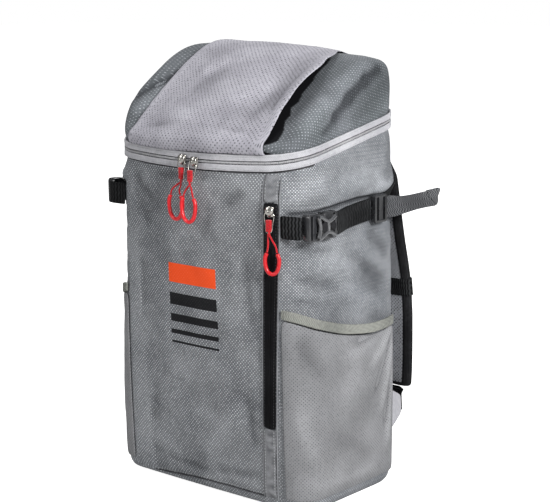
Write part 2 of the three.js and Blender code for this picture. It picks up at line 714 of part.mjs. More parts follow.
// up is the share of the way from the pocket's bottom to its hem, fill the share of the bulge there.
const pocketRows = [
  { up: 0, fill: 0 },
  { up: 0.035, fill: 0.15 },
  { up: 0.09, fill: 0.38 },
  { up: 0.22, fill: 0.6 },
  { up: 0.42, fill: 0.75 },
  { up: 0.62, fill: 0.85 },
  { up: 0.82, fill: 0.95 },
  { up: 1, fill: 1 },
];
const pocketTall = pocketHigh - pocketLow;
const pocketWays = pocketColumns.map((column) => column.way);
const pocketPlaces = stepsBetween(0, 1, wrapStep / (pocketBack - pocketFront));
const hemTop = (way) => pocketHigh - pocketTall * smoothAt(pocketWays, pocketColumns.map((c) => c.drop), way);
const pocketSwell = (way) => pocketBulge * smoothAt(pocketWays, pocketColumns.map((c) => c.bulge), way);
// The left pocket lies flatter than the right one.
for (const [name, side, share] of [["right", 1, 1], ["left", -1, leftFill]]) {
  const point = (way, z, fill, out) => (
    wallPoint(z, side * lerp(pocketFront, pocketBack, way), sewnGap + out + pocketSwell(way) * fill * share));
  const panel = (out) => pocketRows.map(({ up, fill }) => pocketPlaces.map((way) => (
    point(way, lerp(pocketLow, hemTop(way) - hemHeight - gap, up), fill, out))));
  const hem = (out) => [-hemHeight, 0].map((z) => pocketPlaces.map((way) => point(way, hemTop(way) + z, 1, out)));
  add(`pocket_${name}`, sheet(panel(pocketWall), panel(0)), pocketMesh);
  add(`pocket_hem_${name}`, sheet(hem(hemWall), hem(0)), hemBinding);
}

// Compression straps: webbing sewn into the front seam, a closed side-release buckle, webbing to a
// ladder lock, an anchor tab sewn into the back seam, and the free tail.
const strapMiddle = (side, d) => strapBase(side) + strapRise * smoothstep(d, buckleStart + buckleLength, lockStart);
function wrapped(side, from, to, out, wall) {
  const places = stepsBetween(from, to, wrapStep);
  const grid = (stand) => [-webWidth / 2, 0, webWidth / 2].map((z) => places.map((d) => (
    wallPoint(strapMiddle(side, d) + z, side * d, stand + out(d)))));
  return sheet(grid(wall), grid(0));
}

// A frame on the wall at way d: x along the wall towards the back, y up, z away from the wall.
function wallFrame(side, d, out) {
  const middle = strapMiddle(side, d);
  const at = wallPoint(middle, side * d, out);
  const ahead = wallPoint(middle, side * (d + 6), out).sub(wallPoint(middle, side * (d - 6), out));
  ahead.z = strapMiddle(side, d + 6) - strapMiddle(side, d - 6);
  ahead.normalize();
  const away = new THREE.Vector3(side * ahead.y, -side * ahead.x, 0).normalize();
  const up = new THREE.Vector3().crossVectors(away, ahead).normalize();
  return { at, ahead, up: side > 0 ? up : up.negate(), away };
}

// How far the wall stands out at most, over a frame on it, along a stretch of the strap.
function wallRise(side, { at, away }, from, to) {
  const reach = webWidth / 2 + lockSide + gap;
  const heights = stepsBetween(-reach, reach, 3);
  const points = stepsBetween(from - gap, to + gap, 1).flatMap((d) => heights.map((z) => (
    wallPoint(strapMiddle(side, d) + z, side * d, 0))));
  return Math.max(...points.map((p) => p.sub(at).dot(away)));
}

// A frame for a hard piece of a thickness that stands clear of the wall over its whole stretch.
function hardSeat(side, from, to, thick, clear) {
  const middle = (from + to) / 2;
  const rise = wallRise(side, wallFrame(side, middle, 0), from, to);
  return wallFrame(side, middle, rise + clear + thick / 2);
}

// The webbing's place in front of (end -1) or behind (end 1) a buckle set in a frame.
const buckleTip = ({ at, ahead }, end) => at.clone().addScaledVector(ahead, end * (buckleLength / 2 + gap + 0.3));

// The way along the wall of the point, between two ways, and how far it stands off the wall there.
function wallPlace(side, from, to, point) {
  let best = { d: from, stand: Infinity };
  for (const d of stepsBetween(from, to, 0.25)) {
    const stand = wallPoint(point.z, side * d, 0).distanceTo(point);
    if (stand < best.stand) best = { d, stand };
  }
  return best;
}

function placed(geometry, { at, ahead, up, away }) {
  const matrix = new THREE.Matrix4().makeBasis(ahead, up, away).setPosition(at);
  const moved = geometry.clone().applyMatrix4(matrix);
  if (matrix.determinant() > 0) return moved;
  const index = Array.from(moved.index.array);
  for (let i = 0; i < index.length; i += 3) [index[i + 1], index[i + 2]] = [index[i + 2], index[i + 1]];
  moved.setIndex(index);
  return moved;
}

const socketShare = 0.6;
const prongClear = 0.4;
const rearRun = 30;
function buckleHalves() {
  const socketLength = buckleLength * socketShare;
  const barThick = 3;
  const armWidth = 5;
  const armSpan = buckleWidth - armWidth - 4;
  const armReach = socketLength * 0.62;
  const joint = -buckleLength / 2 + socketLength;
  const slotWidth = 3.2;
  const cutThrough = 3 * buckleThick;
  const webSlot = (x) => solidOf(plate(slotWidth, webWidth + 0.6, cutThrough, 0.8, x, 0));
  const prongBody = solidOf(plate(buckleLength - socketLength - gap, buckleWidth, buckleThick * 0.62, 3,
    (joint + gap + buckleLength / 2) / 2, 0));
  const arm = (y) => solidOf(plate(armReach + 6, armWidth, barThick, 1.4, joint - armReach / 2 + 3, y));
  const guide = solidOf(plate(armReach + 2, 3, barThick, 1, joint - armReach / 2 + 1, 0));
  const armClear = (y) => solidOf(plate(armReach + 6, armWidth + 2 * prongClear, barThick + 2 * prongClear, 1.4,
    joint - armReach / 2 + 3 - prongClear, y));
  const guideClear = solidOf(plate(armReach + 2, 3 + 2 * prongClear, barThick + 2 * prongClear, 1,
    joint - armReach / 2 + 1 - prongClear, 0));
  const window = (side) => solidOf(plate(armReach * 0.62, 7, cutThrough, 2, joint - armReach * 0.5,
    side * buckleWidth / 2));
  const socket = solidOf(plate(socketLength, buckleWidth, buckleThick, 3.4, -buckleLength / 2 + socketLength / 2, 0))
    .subtract(armClear(armSpan / 2))
    .subtract(armClear(-armSpan / 2))
    .subtract(guideClear)
    .subtract(window(1))
    .subtract(window(-1))
    .subtract(webSlot(-buckleLength / 2 + 4.2));
  const prong = prongBody
    .add(arm(armSpan / 2))
    .add(arm(-armSpan / 2))
    .add(guide)
    .subtract(webSlot(buckleLength / 2 - 4.2));
  return { socket: geometryOf(socket), prong: geometryOf(prong) };
}

function ladderLock() {
  const open = 4.2;
  const cutThrough = 3 * lockThick;
  const slot = (x) => solidOf(plate(open, webWidth + 0.6, cutThrough, 0.9, x, 0));
  return geometryOf(solidOf(plate(lockLength, webWidth + 2 * lockSide, lockThick, 3))
    .subtract(slot(-lockLength / 2 + 5.4))
    .subtract(slot(lockLength / 2 - 5.4)));
}

const buckle = buckleHalves();
const anchorEdges = stepsBetween(-1, 1, 0.2);
// The left strap hangs a little slacker than the right one.
const strapSides = [
  { name: "right", side: 1, slack: 0 },
  { name: "left", side: -1, slack: 5 },
];
// The tail leaves the ladder lock, bends away behind the bag and twists: way is the share of its length,
// rise and out shares of the webbing's width, twist the lean of its width from upright, in degrees.
const tailPath = [
  { way: 0, rise: 0, out: 0, twist: 0 },
  { way: 0.15, rise: 0.02, out: 0.04, twist: 14 },
  { way: 0.35, rise: 0.1, out: 0.12, twist: 36 },
  { way: 0.6, rise: 0.24, out: 0.2, twist: 42 },
  { way: 0.8, rise: 0.36, out: 0.3, twist: 34 },
  { way: 1, rise: 0.5, out: 0.4, twist: 26 },
];
for (const { name, side, slack } of strapSides) {
  const buckleMiddle = buckleStart + buckleLength / 2;
  const buckleEnd = buckleStart + buckleLength;
  const buckleSeat = hardSeat(side, buckleStart, buckleEnd, buckleThick, hardGap + slack);
  add(`buckle_socket_${name}`, placed(buckle.socket, buckleSeat), blackPlastic);
  add(`buckle_prong_${name}`, placed(buckle.prong, buckleSeat), blackPlastic);
  const frontJoin = wallPlace(side, strapStart, buckleMiddle, buckleTip(buckleSeat, -1));
  add(`strap_front_${name}`, wrapped(side, strapStart, frontJoin.d, (d) => lerp(
    sewnGap, frontJoin.stand - webWall / 2, smoothstep(d, strapStart, frontJoin.d)), webWall), blackWebbing);
  const rearJoin = wallPlace(side, buckleMiddle, lockStart, buckleTip(buckleSeat, 1));
  const rearEnd = lockStart - gap;
  add(`strap_rear_${name}`, wrapped(side, rearJoin.d, rearEnd, (d) => lerp(
    rearJoin.stand - webWall, sewnGap + 1.6, smoothstep(d, rearJoin.d, buckleEnd + rearRun)), 2 * webWall), blackWebbing);
  const lockSeat = hardSeat(side, lockStart, lockStart + lockLength, lockThick, sewnGap);
  add(`ladder_lock_${name}`, placed(ladderLock(), lockSeat), blackPlastic);
  const lockEnd = lockStart + lockLength + sewnGap;
  const anchorRise = 0.7 * webWidth;
  const anchorGrid = (out) => anchorEdges.map((edge) => stepsBetween(lockEnd + gap, anchorEnd, 0.6 * wrapStep).map((d) => {
    const share = (d - lockEnd) / (anchorEnd - lockEnd);
    const z = strapMiddle(side, d) + (edge * webWidth) / 2 + anchorRise * share * lerp(0.7, 1.15, (edge + 1) / 2);
    return wallPoint(z, side * d, out);
  }));
  add(`strap_anchor_${name}`, sheet(anchorGrid(sewnGap + webWall), anchorGrid(sewnGap)), blackWebbing);
  const tailStart = lockSeat.at.clone()
    .addScaledVector(lockSeat.ahead, lockLength / 2 + gap)
    .addScaledVector(lockSeat.away, 1.2);
  const tail = tailPath.map(({ way, rise, out, twist }) => {
    const lean = THREE.MathUtils.degToRad(twist);
    const at = tailStart.clone();
    at.x += side * out * webWidth;
    at.y += way * tailLength;
    at.z += rise * webWidth;
    return { at, across: new THREE.Vector3(-side * Math.sin(lean), 0, Math.cos(lean)) };
  });
  add(`strap_tail_${name}`, ribbon(tail, webWidth, webWall), blackWebbing);
}

// Back panel: a padded mesh panel on the tub's back.
const backPadLow = 34;
const backPadHigh = 318;
const backPadRound = 5;
function backPad() {
  const count = 9;
  const columns = 11;
  const grid = (front) => {
    const rows = [];
    for (let i = 0; i < count; i += 1) {
      const v = i / (count - 1);
      const z = lerp(backPadLow, backPadHigh, v);
      const row = [];
      for (let k = 0; k < columns; k += 1) {
        const u = (2 * k) / (columns - 1) - 1;
        const edge = Math.min(1, (1 - Math.abs(u)) * 5, (0.5 - Math.abs(v - 0.5)) * 12);
        const thick = lerp(backPadThick - backPadRound, backPadThick, Math.sqrt(Math.max(edge, 0)));
        const x = (u * backPadWidth) / 2;
        const wall = wallPoint(z, 1000, 0).y;
        row.push(new THREE.Vector3(x, wall + gap + (front ? 0 : thick), z));
      }
      rows.push(row);
    }
    return rows;
  };
  return sheet(grid(true), grid(false));
}
add("back_pad", backPad(), airMesh);

// Shoulder straps: padded straps that bow out behind the back, each with a webbing band across it and
// webbing from its lower end to a grey tab sewn on the tub's corner. z is the share of the rim's height,
// stand how far the strap's front face stands behind the tub, as a share of the greatest stand, and slide
// how far the strap lies towards the middle, as a share of the tub's width.
const shoulderStand = 43;
const shoulderPath = [
  { z: 0.985, stand: -0.004, slide: 0.02 },
  { z: 0.962, stand: 0.093, slide: 0.01 },
  { z: 0.93, stand: 0.214, slide: 0 },
  { z: 0.88, stand: 0.311, slide: 0 },
  { z: 0.8, stand: 0.456, slide: 0 },
  { z: 0.71, stand: 0.637, slide: 0 },
  { z: 0.615, stand: 0.855, slide: 0 },
  { z: 0.5, stand: 0.982, slide: 0 },
  { z: 0.4, stand: 1, slide: 0 },
  { z: 0.32, stand: 1, slide: 0 },
  { z: 0.25, stand: 0.964, slide: 0 },
];
const backY = rimDepth / 2;
function shoulderGrid(side, rows, grow, thick) {
  const across = [0, 0.12, 0.5, 0.88, 1];
  const round = [0.62, 1, 1, 1, 0.62];
  return rows.map(({ y, z, normal, slide }) => {
    const outer = shoulderOuter - slide * rimWidth + grow;
    const row = across.map((a, i) => {
      const x = side * lerp(outer - shoulderWidth - 2 * grow, outer, a);
      const half = (thick / 2) * round[i];
      return [
        new THREE.Vector3(x, y + normal.x * half, z + normal.y * half),
        new THREE.Vector3(x, y - normal.x * half, z - normal.y * half),
      ];
    });
    return [...row.map((p) => p[0]), ...row.map((p) => p[1]).reverse()];
  });
}
const pathPlaces = shoulderPath.map((row) => -row.z);
const along = (key, z) => smoothAt(pathPlaces, shoulderPath.map((row) => row[key]), -z / rimHeight);
const bandLow = bandHigh - bandTall;
const strapTop = shoulderPath[0].z * rimHeight;
const strapEnd = shoulderPath.at(-1).z * rimHeight;
const rowStep = 22;
// The strap's rows from its top down, with rows on the band's edges.
const shoulderRows = (() => {
  const down = (from, to) => {
    const count = Math.max(1, Math.round((from - to) / rowStep));
    return Array.from({ length: count + 1 }, (_, i) => lerp(from, to, i / count));
  };
  const heights = [...down(strapTop, bandHigh), ...down(bandHigh, bandLow).slice(1), ...down(bandLow, strapEnd).slice(1)];
  const middle = heights.map((z) => new THREE.Vector2(
    backY + along("stand", z) * shoulderStand + shoulderThick / 2, z));
  return middle.map((p, i) => {
    const way = middle[Math.min(i + 1, middle.length - 1)].clone().sub(middle[Math.max(i - 1, 0)]).normalize();
    return { y: p.x, z: p.y, normal: new THREE.Vector2(-way.y, way.x), slide: along("slide", p.y) };
  });
})();
const firstBandRow = shoulderRows.findIndex((row) => row.z < bandHigh + 1);
const lastBandRow = shoulderRows.findIndex((row) => row.z < bandLow + 1);
const wrapClear = 0.45;
const tabSeam = 318;
const tabTipX = 116;
// The tab's tip from its lower to its upper end, as height and place behind the middle.
const tabTipLow = new THREE.Vector2(66, 122);
const tabTipHigh = new THREE.Vector2(88, 120);
const lowerWebBow = 3;
for (const [name, side] of [["right", 1], ["left", -1]]) {
  add(`shoulder_strap_${name}`, loft(shoulderGrid(side, shoulderRows, 0, shoulderThick)), airMesh);
  const bandRows = shoulderRows.slice(firstBandRow, lastBandRow + 1);
  const roomRows = shoulderRows.slice(firstBandRow - 1, lastBandRow + 2);
  const outer = wrapClear + webWall;
  const wrap = solidOf(loft(shoulderGrid(side, bandRows, outer, shoulderThick + 2 * outer)));
  const hole = solidOf(loft(shoulderGrid(side, roomRows, wrapClear, shoulderThick + 2 * wrapClear)));
  add(`strap_band_${name}`, geometryOf(wrap.subtract(hole)), blackWebbing);

  // The corner tab stands back from the wall and narrows to the webbing's end.
  const tabTip = (share) => new THREE.Vector3(side * tabTipX, lerp(tabTipLow.y, tabTipHigh.y, share),
    lerp(tabTipLow.x, tabTipHigh.x, share));
  const tabGrid = (out) => stepsBetween(0, 1, 0.25).map((reach) => stepsBetween(0, 1, 0.34).map((share) => {
    const seam = wallPoint(lerp(tabLow, tabHigh, share), side * tabSeam, sewnGap);
    const p = seam.lerp(tabTip(share), reach);
    p.x += side * out;
    return p;
  }));
  add(`corner_tab_${name}`, sheet(tabGrid(tabWall), tabGrid(0)), greyTab);

  // Lower webbing from the strap's end to the tab's tip, turning on edge on its way.
  const end = shoulderRows.at(-1);
  const start = new THREE.Vector3(side * (shoulderOuter - 0.4 * shoulderWidth), end.y, end.z - gap - webWall);
  const finish = tabTip(0.5).add(new THREE.Vector3(side * tabWall * 0.5, 1.4 * gap, 0.8 * gap));
  const onEdge = tabTip(1).sub(tabTip(0)).normalize();
  const web = stepsBetween(0, 1, 0.2).map((share) => ({
    at: start.clone().lerp(finish, share).add(new THREE.Vector3(0, lowerWebBow * Math.sin(Math.PI * share), 0)),
    across: new THREE.Vector3(side, 0, 0).lerp(onEdge, smoothstep(share, 0, 1)),
  }));
  add(`lower_web_${name}`, ribbon(web, lowerWebWidth, webWall), blackWebbing);
}

export default bag;
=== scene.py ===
# Cooler backpack: a padded tub with a zipped dome lid, a stowage flap, stretch side pockets, compression
# straps and two shoulder straps. Metres, +Z up, and the front faces -Y.
import bisect
import math

import bmesh
import bpy
from mathutils import Matrix, Vector, noise
from mathutils.bvhtree import BVHTree


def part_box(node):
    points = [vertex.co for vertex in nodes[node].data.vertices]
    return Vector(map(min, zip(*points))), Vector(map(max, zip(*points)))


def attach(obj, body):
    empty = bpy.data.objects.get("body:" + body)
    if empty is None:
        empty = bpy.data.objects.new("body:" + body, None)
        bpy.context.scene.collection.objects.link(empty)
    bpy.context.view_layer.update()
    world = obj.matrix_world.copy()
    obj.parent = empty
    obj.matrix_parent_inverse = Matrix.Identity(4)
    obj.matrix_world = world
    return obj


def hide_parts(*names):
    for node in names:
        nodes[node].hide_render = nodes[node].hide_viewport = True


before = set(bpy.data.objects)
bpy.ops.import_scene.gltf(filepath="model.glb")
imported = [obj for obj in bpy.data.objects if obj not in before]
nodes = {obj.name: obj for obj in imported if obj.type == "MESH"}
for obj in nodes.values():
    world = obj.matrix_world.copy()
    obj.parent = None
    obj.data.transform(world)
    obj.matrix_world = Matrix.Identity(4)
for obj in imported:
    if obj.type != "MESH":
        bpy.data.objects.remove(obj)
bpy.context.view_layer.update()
MM = 0.001

# Studio: a floor and a room of white paper, four soft lamps and the camera. The bag is seen from its front
# right corner and slightly from above.
PHOTO_WIDTH = 550
FOCAL_PIXELS = 1469.76
SENSOR = 36
CAMERA_AZIMUTH = math.radians(40.451)
CAMERA_HEIGHT = math.radians(10.376)
CAMERA_ROLL = math.radians(-0.393)
CAMERA_DISTANCE = 1691.42 * MM
CAMERA_SIDE = 19.392 * MM
CAMERA_AIM = 264.485 * MM
FLOOR_SIZE = 30
FLOOR_COLOUR = (0.62, 0.62, 0.62, 1)
FLOOR_LIGHTER = (0.64, 0.64, 0.64, 1)
FLOOR_GLOW = 0.9
LAMPS = [
    {"name": "key_lamp", "place": (2.3, -0.6, 1.35), "size": 0.7, "power": 88},
    {"name": "front_lamp", "place": (-1.0, -2.3, 1.5), "size": 1.2, "power": 23},
    {"name": "top_lamp", "place": (-0.3, -0.4, 2.6), "size": 0.9, "power": 18},
    {"name": "back_lamp", "place": (-1.2, 2.1, 1.6), "size": 1.8, "power": 34},
]
LAMP_AIM = Vector((0, 0, 0.25))
ROOM_LIGHT = 0.25
ROOM_SEEN = 1.0


def shown(name, data):
    """A new object at the origin that holds a mesh, curve, lamp or camera."""
    piece = bpy.data.objects.new(name, data)
    bpy.context.scene.collection.objects.link(piece)
    return piece


def facing_matrix(place, right, up, back):
    matrix = Matrix((right, up, back)).transposed().to_4x4()
    matrix.translation = place
    return matrix


back_way = Vector((
    math.sin(CAMERA_AZIMUTH) * math.cos(CAMERA_HEIGHT),
    -math.cos(CAMERA_AZIMUTH) * math.cos(CAMERA_HEIGHT),
    math.sin(CAMERA_HEIGHT),
))
level_way = Vector((math.cos(CAMERA_AZIMUTH), math.sin(CAMERA_AZIMUTH), 0))
upright_way = back_way.cross(level_way)
camera_place = level_way * CAMERA_SIDE + Vector((0, 0, CAMERA_AIM)) + back_way * CAMERA_DISTANCE
camera_right = level_way * math.cos(CAMERA_ROLL) + upright_way * math.sin(CAMERA_ROLL)
camera = shown("camera", bpy.data.cameras.new("camera"))
camera.data.sensor_width = SENSOR
camera.data.sensor_fit = "HORIZONTAL"
camera.data.lens = SENSOR * FOCAL_PIXELS / PHOTO_WIDTH
camera.matrix_world = facing_matrix(camera_place, camera_right, back_way.cross(camera_right), back_way)
bpy.context.scene.camera = camera

for lamp in LAMPS:
    light = bpy.data.lights.new(lamp["name"], "AREA")
    light.size = lamp["size"]
    light.energy = lamp["power"]
    stand = shown(lamp["name"], light)
    away = (Vector(lamp["place"]) - LAMP_AIM).normalized()
    level = Vector((0, 0, 1)).cross(away).normalized()
    stand.matrix_world = facing_matrix(Vector(lamp["place"]), level, away.cross(level), away)

world = bpy.data.worlds.new("studio")
world.use_nodes = True
paper_light = world.node_tree.nodes["Background"]
paper_light.inputs["Color"].default_value = (1, 1, 1, 1)
seen_or_lit = world.node_tree.nodes.new("ShaderNodeMapRange")
camera_ray = world.node_tree.nodes.new("ShaderNodeLightPath").outputs["Is Camera Ray"]
world.node_tree.links.new(camera_ray, seen_or_lit.inputs[0])
seen_or_lit.inputs["To Min"].default_value = ROOM_LIGHT
seen_or_lit.inputs["To Max"].default_value = ROOM_SEEN
world.node_tree.links.new(seen_or_lit.outputs[0], paper_light.inputs["Strength"])
bpy.context.scene.world = world
bpy.context.scene.view_settings.view_transform = "Standard"


class Finish:
    """One material's node tree, with short ways to add nodes to it."""

    def __init__(self, name, roughness=0.8, metallic=0.0, sheen=0.0, coat=0.0, gloss=0.06, tree=None):
        if tree:
            self.tree = tree
            return
        self.material = bpy.data.materials.new(name)
        self.material.use_nodes = True
        self.tree = self.material.node_tree
        self.shader = self.tree.nodes["Principled BSDF"]
        self.shader.inputs["Roughness"].default_value = roughness
        self.shader.inputs["Metallic"].default_value = metallic
        self.shader.inputs["Sheen Weight"].default_value = sheen
        self.shader.inputs["Specular IOR Level"].default_value = gloss
        self.shader.inputs["Coat Weight"].default_value = coat

    def feed(self, socket, value):
        if isinstance(value, bpy.types.NodeSocket):
            self.tree.links.new(value, socket)
        else:
            socket.default_value = value

    def add(self, kind, **settings):
        node = self.tree.nodes.new(kind)
        for key, value in settings.items():
            setattr(node, key, value)
        return node

    def sum(self, way, first, second=0.0):
        node = self.add("ShaderNodeMath", operation=way)
        self.feed(node.inputs[0], first)
        self.feed(node.inputs[1], second)
        return node.outputs[0]

    def blend(self, share, first, second):
        node = self.add("ShaderNodeMix", data_type="RGBA")
        self.feed(node.inputs["Factor"], share)
        self.feed(node.inputs["A"], first)
        self.feed(node.inputs["B"], second)
        return node.outputs["Result"]

    def ramp(self, value, low, high, start=0.0, end=1.0):
        node = self.add("ShaderNodeMapRange", interpolation_type="SMOOTHSTEP")
        for socket, number in zip(node.inputs, (value, low, high, start, end)):
            self.feed(socket, number)
        return node.outputs[0]

    def object_place(self):
        return self.add("ShaderNodeTexCoord").outputs["Object"]

    def cloth_place(self):
        return self.add("ShaderNodeUVMap", uv_map="cloth").outputs["UV"]

    def parts(self, place):
        node = self.add("ShaderNodeSeparateXYZ")
        self.feed(node.inputs[0], place)
        return node.outputs

    def group(self, tree, **values):
        node = self.add("ShaderNodeGroup", node_tree=tree)
        for key, value in values.items():
            self.feed(node.inputs[key], value)
        return node.outputs

    def noise(self, place, scale, detail=2.0):
        node = self.add("ShaderNodeTexNoise")
        self.feed(node.inputs["Vector"], place)
        node.inputs["Scale"].default_value = scale
        node.inputs["Detail"].default_value = detail
        return node.outputs["Fac"]

    def bump(self, height, strength, distance):
        node = self.add("ShaderNodeBump")
        node.inputs["Strength"].default_value = strength
        node.inputs["Distance"].default_value = distance
        self.feed(node.inputs["Height"], height)
        self.feed(self.shader.inputs["Normal"], node.outputs["Normal"])

    def grain(self, scale, strength, depth):
        self.bump(self.noise(self.object_place(), scale, 2), strength, depth)

    def kept(self, name):
        """A number kept at each point of the mesh."""
        return self.add("ShaderNodeAttribute", attribute_name=name).outputs["Fac"]

    def cloudy(self, dark, light):
        return self.group(cloudy_shade, Place=self.object_place(), Dark=dark, Light=light)["Colour"]

    def colour(self, value):
        self.feed(self.shader.inputs["Base Color"], value)


def new_group(name, inputs, outputs):
    """An empty shader node group with named sockets."""
    tree = bpy.data.node_groups.new(name, "ShaderNodeTree")
    for key, kind in inputs.items():
        tree.interface.new_socket(key, in_out="INPUT", socket_type="NodeSocket" + kind)
    for key, kind in outputs.items():
        tree.interface.new_socket(key, in_out="OUTPUT", socket_type="NodeSocket" + kind)
    return Finish("", tree=tree), tree.nodes.new("NodeGroupInput").outputs, tree.nodes.new("NodeGroupOutput").inputs


# Cloudy shade: cloth and plastic are never quite one colour. It puts out a colour between a darker and a
# lighter one by two sizes of soft noise.
CLOUD_SCALE = 14
SPECKLE_SCALE = 260
CLOUD_SHARE = 0.7
shade, given, out = new_group(
    "cloudy_shade", {"Place": "Vector", "Dark": "Color", "Light": "Color"}, {"Colour": "Color"})
wide = shade.noise(given["Place"], CLOUD_SCALE, 3)
fine = shade.noise(given["Place"], SPECKLE_SCALE, 2)
share = shade.sum(
    "ADD", shade.sum("MULTIPLY", wide, CLOUD_SHARE), shade.sum("MULTIPLY", fine, 1 - CLOUD_SHARE))
shade.feed(out["Colour"], shade.blend(shade.ramp(share, 0.36, 0.64), given["Dark"], given["Light"]))
cloudy_shade = shade.tree

floor_finish = Finish("floor_paper", roughness=0.9)
floor_finish.colour(floor_finish.cloudy(FLOOR_COLOUR, FLOOR_LIGHTER))
floor_finish.shader.inputs["Emission Color"].default_value = (1, 1, 1, 1)
camera_ray = floor_finish.add("ShaderNodeLightPath").outputs["Is Camera Ray"]
seen_glow = floor_finish.sum("MULTIPLY", camera_ray, FLOOR_GLOW)
floor_finish.feed(floor_finish.shader.inputs["Emission Strength"], seen_glow)
floor_mesh = bpy.data.meshes.new("floor")
work = bmesh.new()
bmesh.ops.create_grid(work, x_segments=2, y_segments=2, size=FLOOR_SIZE / 2)
work.to_mesh(floor_mesh)
work.free()
floor_mesh.materials.append(floor_finish.material)
floor = shown("floor", floor_mesh)

# Tub: foam between a dotted grey polyester weave outside and a lining inside, sewn from a front panel, two
# sides, a back and a floor. The panels lie in soft folds where the seams and the straps gather them.
STRAP_HEIGHT = 317 * MM
STRAP_RISE = 6 * MM
LEFT_RAISE = 15 * MM
SEAM_LOW = 86.5 * MM
SEAM_HIGH = 100.4 * MM
RIM_HEIGHT = 376 * MM
RIM_SLOPE = 0.197
RIM_FRONT = -93 * MM
STRIP_WIDTH = 16 * MM
POCKET_FRONT = 116 * MM
POCKET_BACK = 292 * MM
TUB_DARK = (0.127, 0.134, 0.145, 1)
TUB_LIGHT = (0.2, 0.208, 0.22, 1)
TUB_DOT = (0.74, 0.76, 0.78, 1)
TUB_PITCH = 4.2 * MM
TUB_SIDE_PITCH = 3.4 * MM
TUB_SINK = -0.5 * MM


def smoothstep(value, low, high):
    t = min(max((value - low) / (high - low), 0), 1)
    return t * t * (3 - 2 * t)


def lerp(first, second, share):
    return first + (second - first) * share


def quads_of(node):
    """A node's mesh as a bmesh, its loose triangles merged and joined to quads."""
    work = bmesh.new()
    work.from_mesh(nodes[node].data)
    bmesh.ops.remove_doubles(work, verts=work.verts, dist=0.01 * MM)
    bmesh.ops.join_triangles(
        work, faces=work.faces, angle_face_threshold=math.radians(50), angle_shape_threshold=math.radians(70))
    return work


def cut_long(work, longest, cuts, upright=None):
    """Cuts the edges over a length, all of them or only upright or only level ones."""
    chosen = []
    for edge in work.edges:
        way = edge.verts[1].co - edge.verts[0].co
        stands = abs(way.z) > 0.8 * way.length
        if way.length > longest and (upright is None or stands == upright):
            chosen.append(edge)
    bmesh.ops.subdivide_edges(work, edges=chosen, cuts=cuts, use_grid_fill=True)


def made(name, work, *finishes):
    """An object from a bmesh, shaded smooth."""
    mesh = bpy.data.meshes.new(name)
    work.to_mesh(mesh)
    work.free()
    mesh.shade_smooth()
    for finish in finishes:
        mesh.materials.append(finish.material)
    return shown(name, mesh)


def settle(piece):
    """Turns a piece's modifiers into its mesh."""
    seen = piece.evaluated_get(bpy.context.evaluated_depsgraph_get())
    mesh = bpy.data.meshes.new_from_object(seen)
    piece.modifiers.clear()
    piece.data = mesh
    return piece


def rounded(piece, levels):
    """Rounds a piece off by subdivision."""
    step = piece.modifiers.new("round", "SUBSURF")
    step.levels = levels
    step.render_levels = levels
    step.boundary_smooth = "PRESERVE_CORNERS"
    return settle(piece)


def tree_of(piece):
    return BVHTree.FromPolygons([v.co for v in piece.data.vertices], [p.vertices for p in piece.data.polygons])


WALL_GUESSES = (0.115, 0.1, 0.135, 0.16, 0.08)


class Wall:
    """Finds places on an upright wall round the bag: the way along it from the middle of the front, right
    positive, and the height over the floor."""

    def __init__(self, tree, base=lambda y: 0.0, steps=360):
        self.tree = tree
        self.base = base
        self.steps = steps
        self.cuts = {}

    def cut(self, height):
        key = round(height, 6)
        if key in self.cuts:
            return self.cuts[key]
        points = []
        for i in range(self.steps + 1):
            angle = -math.pi + 2 * math.pi * i / self.steps
            way = Vector((math.sin(angle), -math.cos(angle), 0))
            point = None
            for reach in WALL_GUESSES if self.base(1.0) else (0.0,):
                level = height + self.base(way.y * reach)
                for _ in range(4 if self.base(1.0) else 1):
                    hit = self.tree.ray_cast(Vector((0, 0, level)) + way * 0.5, -way)[0]
                    if hit is None:
                        break
                    point = hit
                    level = height + self.base(hit.y)
                if point:
                    break
            points.append(point)
        lengths = [0.0]
        for before, after in zip(points, points[1:]):
            lengths.append(lengths[-1] + ((after - before).length if before and after else 0))
        middle = lengths[self.steps // 2]
        result = points, [length - middle for length in lengths]
        self.cuts[key] = result
        return result

    def at(self, way, height, out=0.0):
        """The point at a way and a height, and the wall's outward direction there."""
        points, ways = self.cut(height)
        i = min(max(bisect.bisect_left(ways, way), 1), self.steps)
        share = (way - ways[i - 1]) / max(ways[i] - ways[i - 1], 1e-9)
        before, after = points[i - 1], points[i]
        low, high = points[max(i - 3, 0)], points[min(i + 2, self.steps)]
        along = (high - low).normalized()
        normal = Vector((along.y, -along.x, 0)).normalized()
        return before.lerp(after, share) + normal * out, normal

    def way_of(self, place):
        """The way and height of a place on or near the wall."""
        height = place.z - self.base(place.y)
        turn = math.atan2(place.x, -place.y) / (2 * math.pi) + 0.5
        spot = turn * self.steps
        i = min(int(spot), self.steps - 1)
        low = math.floor(height / (10 * MM)) * 10 * MM
        lowest, highest = self.limits
        ways = []
        for level in (low, low + 10 * MM):
            row = self.cut(min(max(level, lowest), highest))[1]
            ways.append(lerp(row[i], row[i + 1], spot - i))
        return lerp(ways[0], ways[1], (height - low) / (10 * MM)), height

    limits = (14 * MM, 370 * MM)


def lay_cloth(piece, place_of, half_girth=0.0):
    """Gives a piece the cloth map that its weave follows. Faces over the back seam keep to one side."""
    places = [place_of(v.co) for v in piece.data.vertices]
    layer = piece.data.uv_layers.new(name="cloth")
    for face in piece.data.polygons:
        side = 1 if face.center.x > 0 else -1
        for loop in face.loop_indices:
            u, v = places[piece.data.loops[loop].vertex_index]
            if half_girth and u * side < -half_girth / 2:
                u += side * 2 * half_girth
            layer.data[loop].uv = (u, v)
    return piece


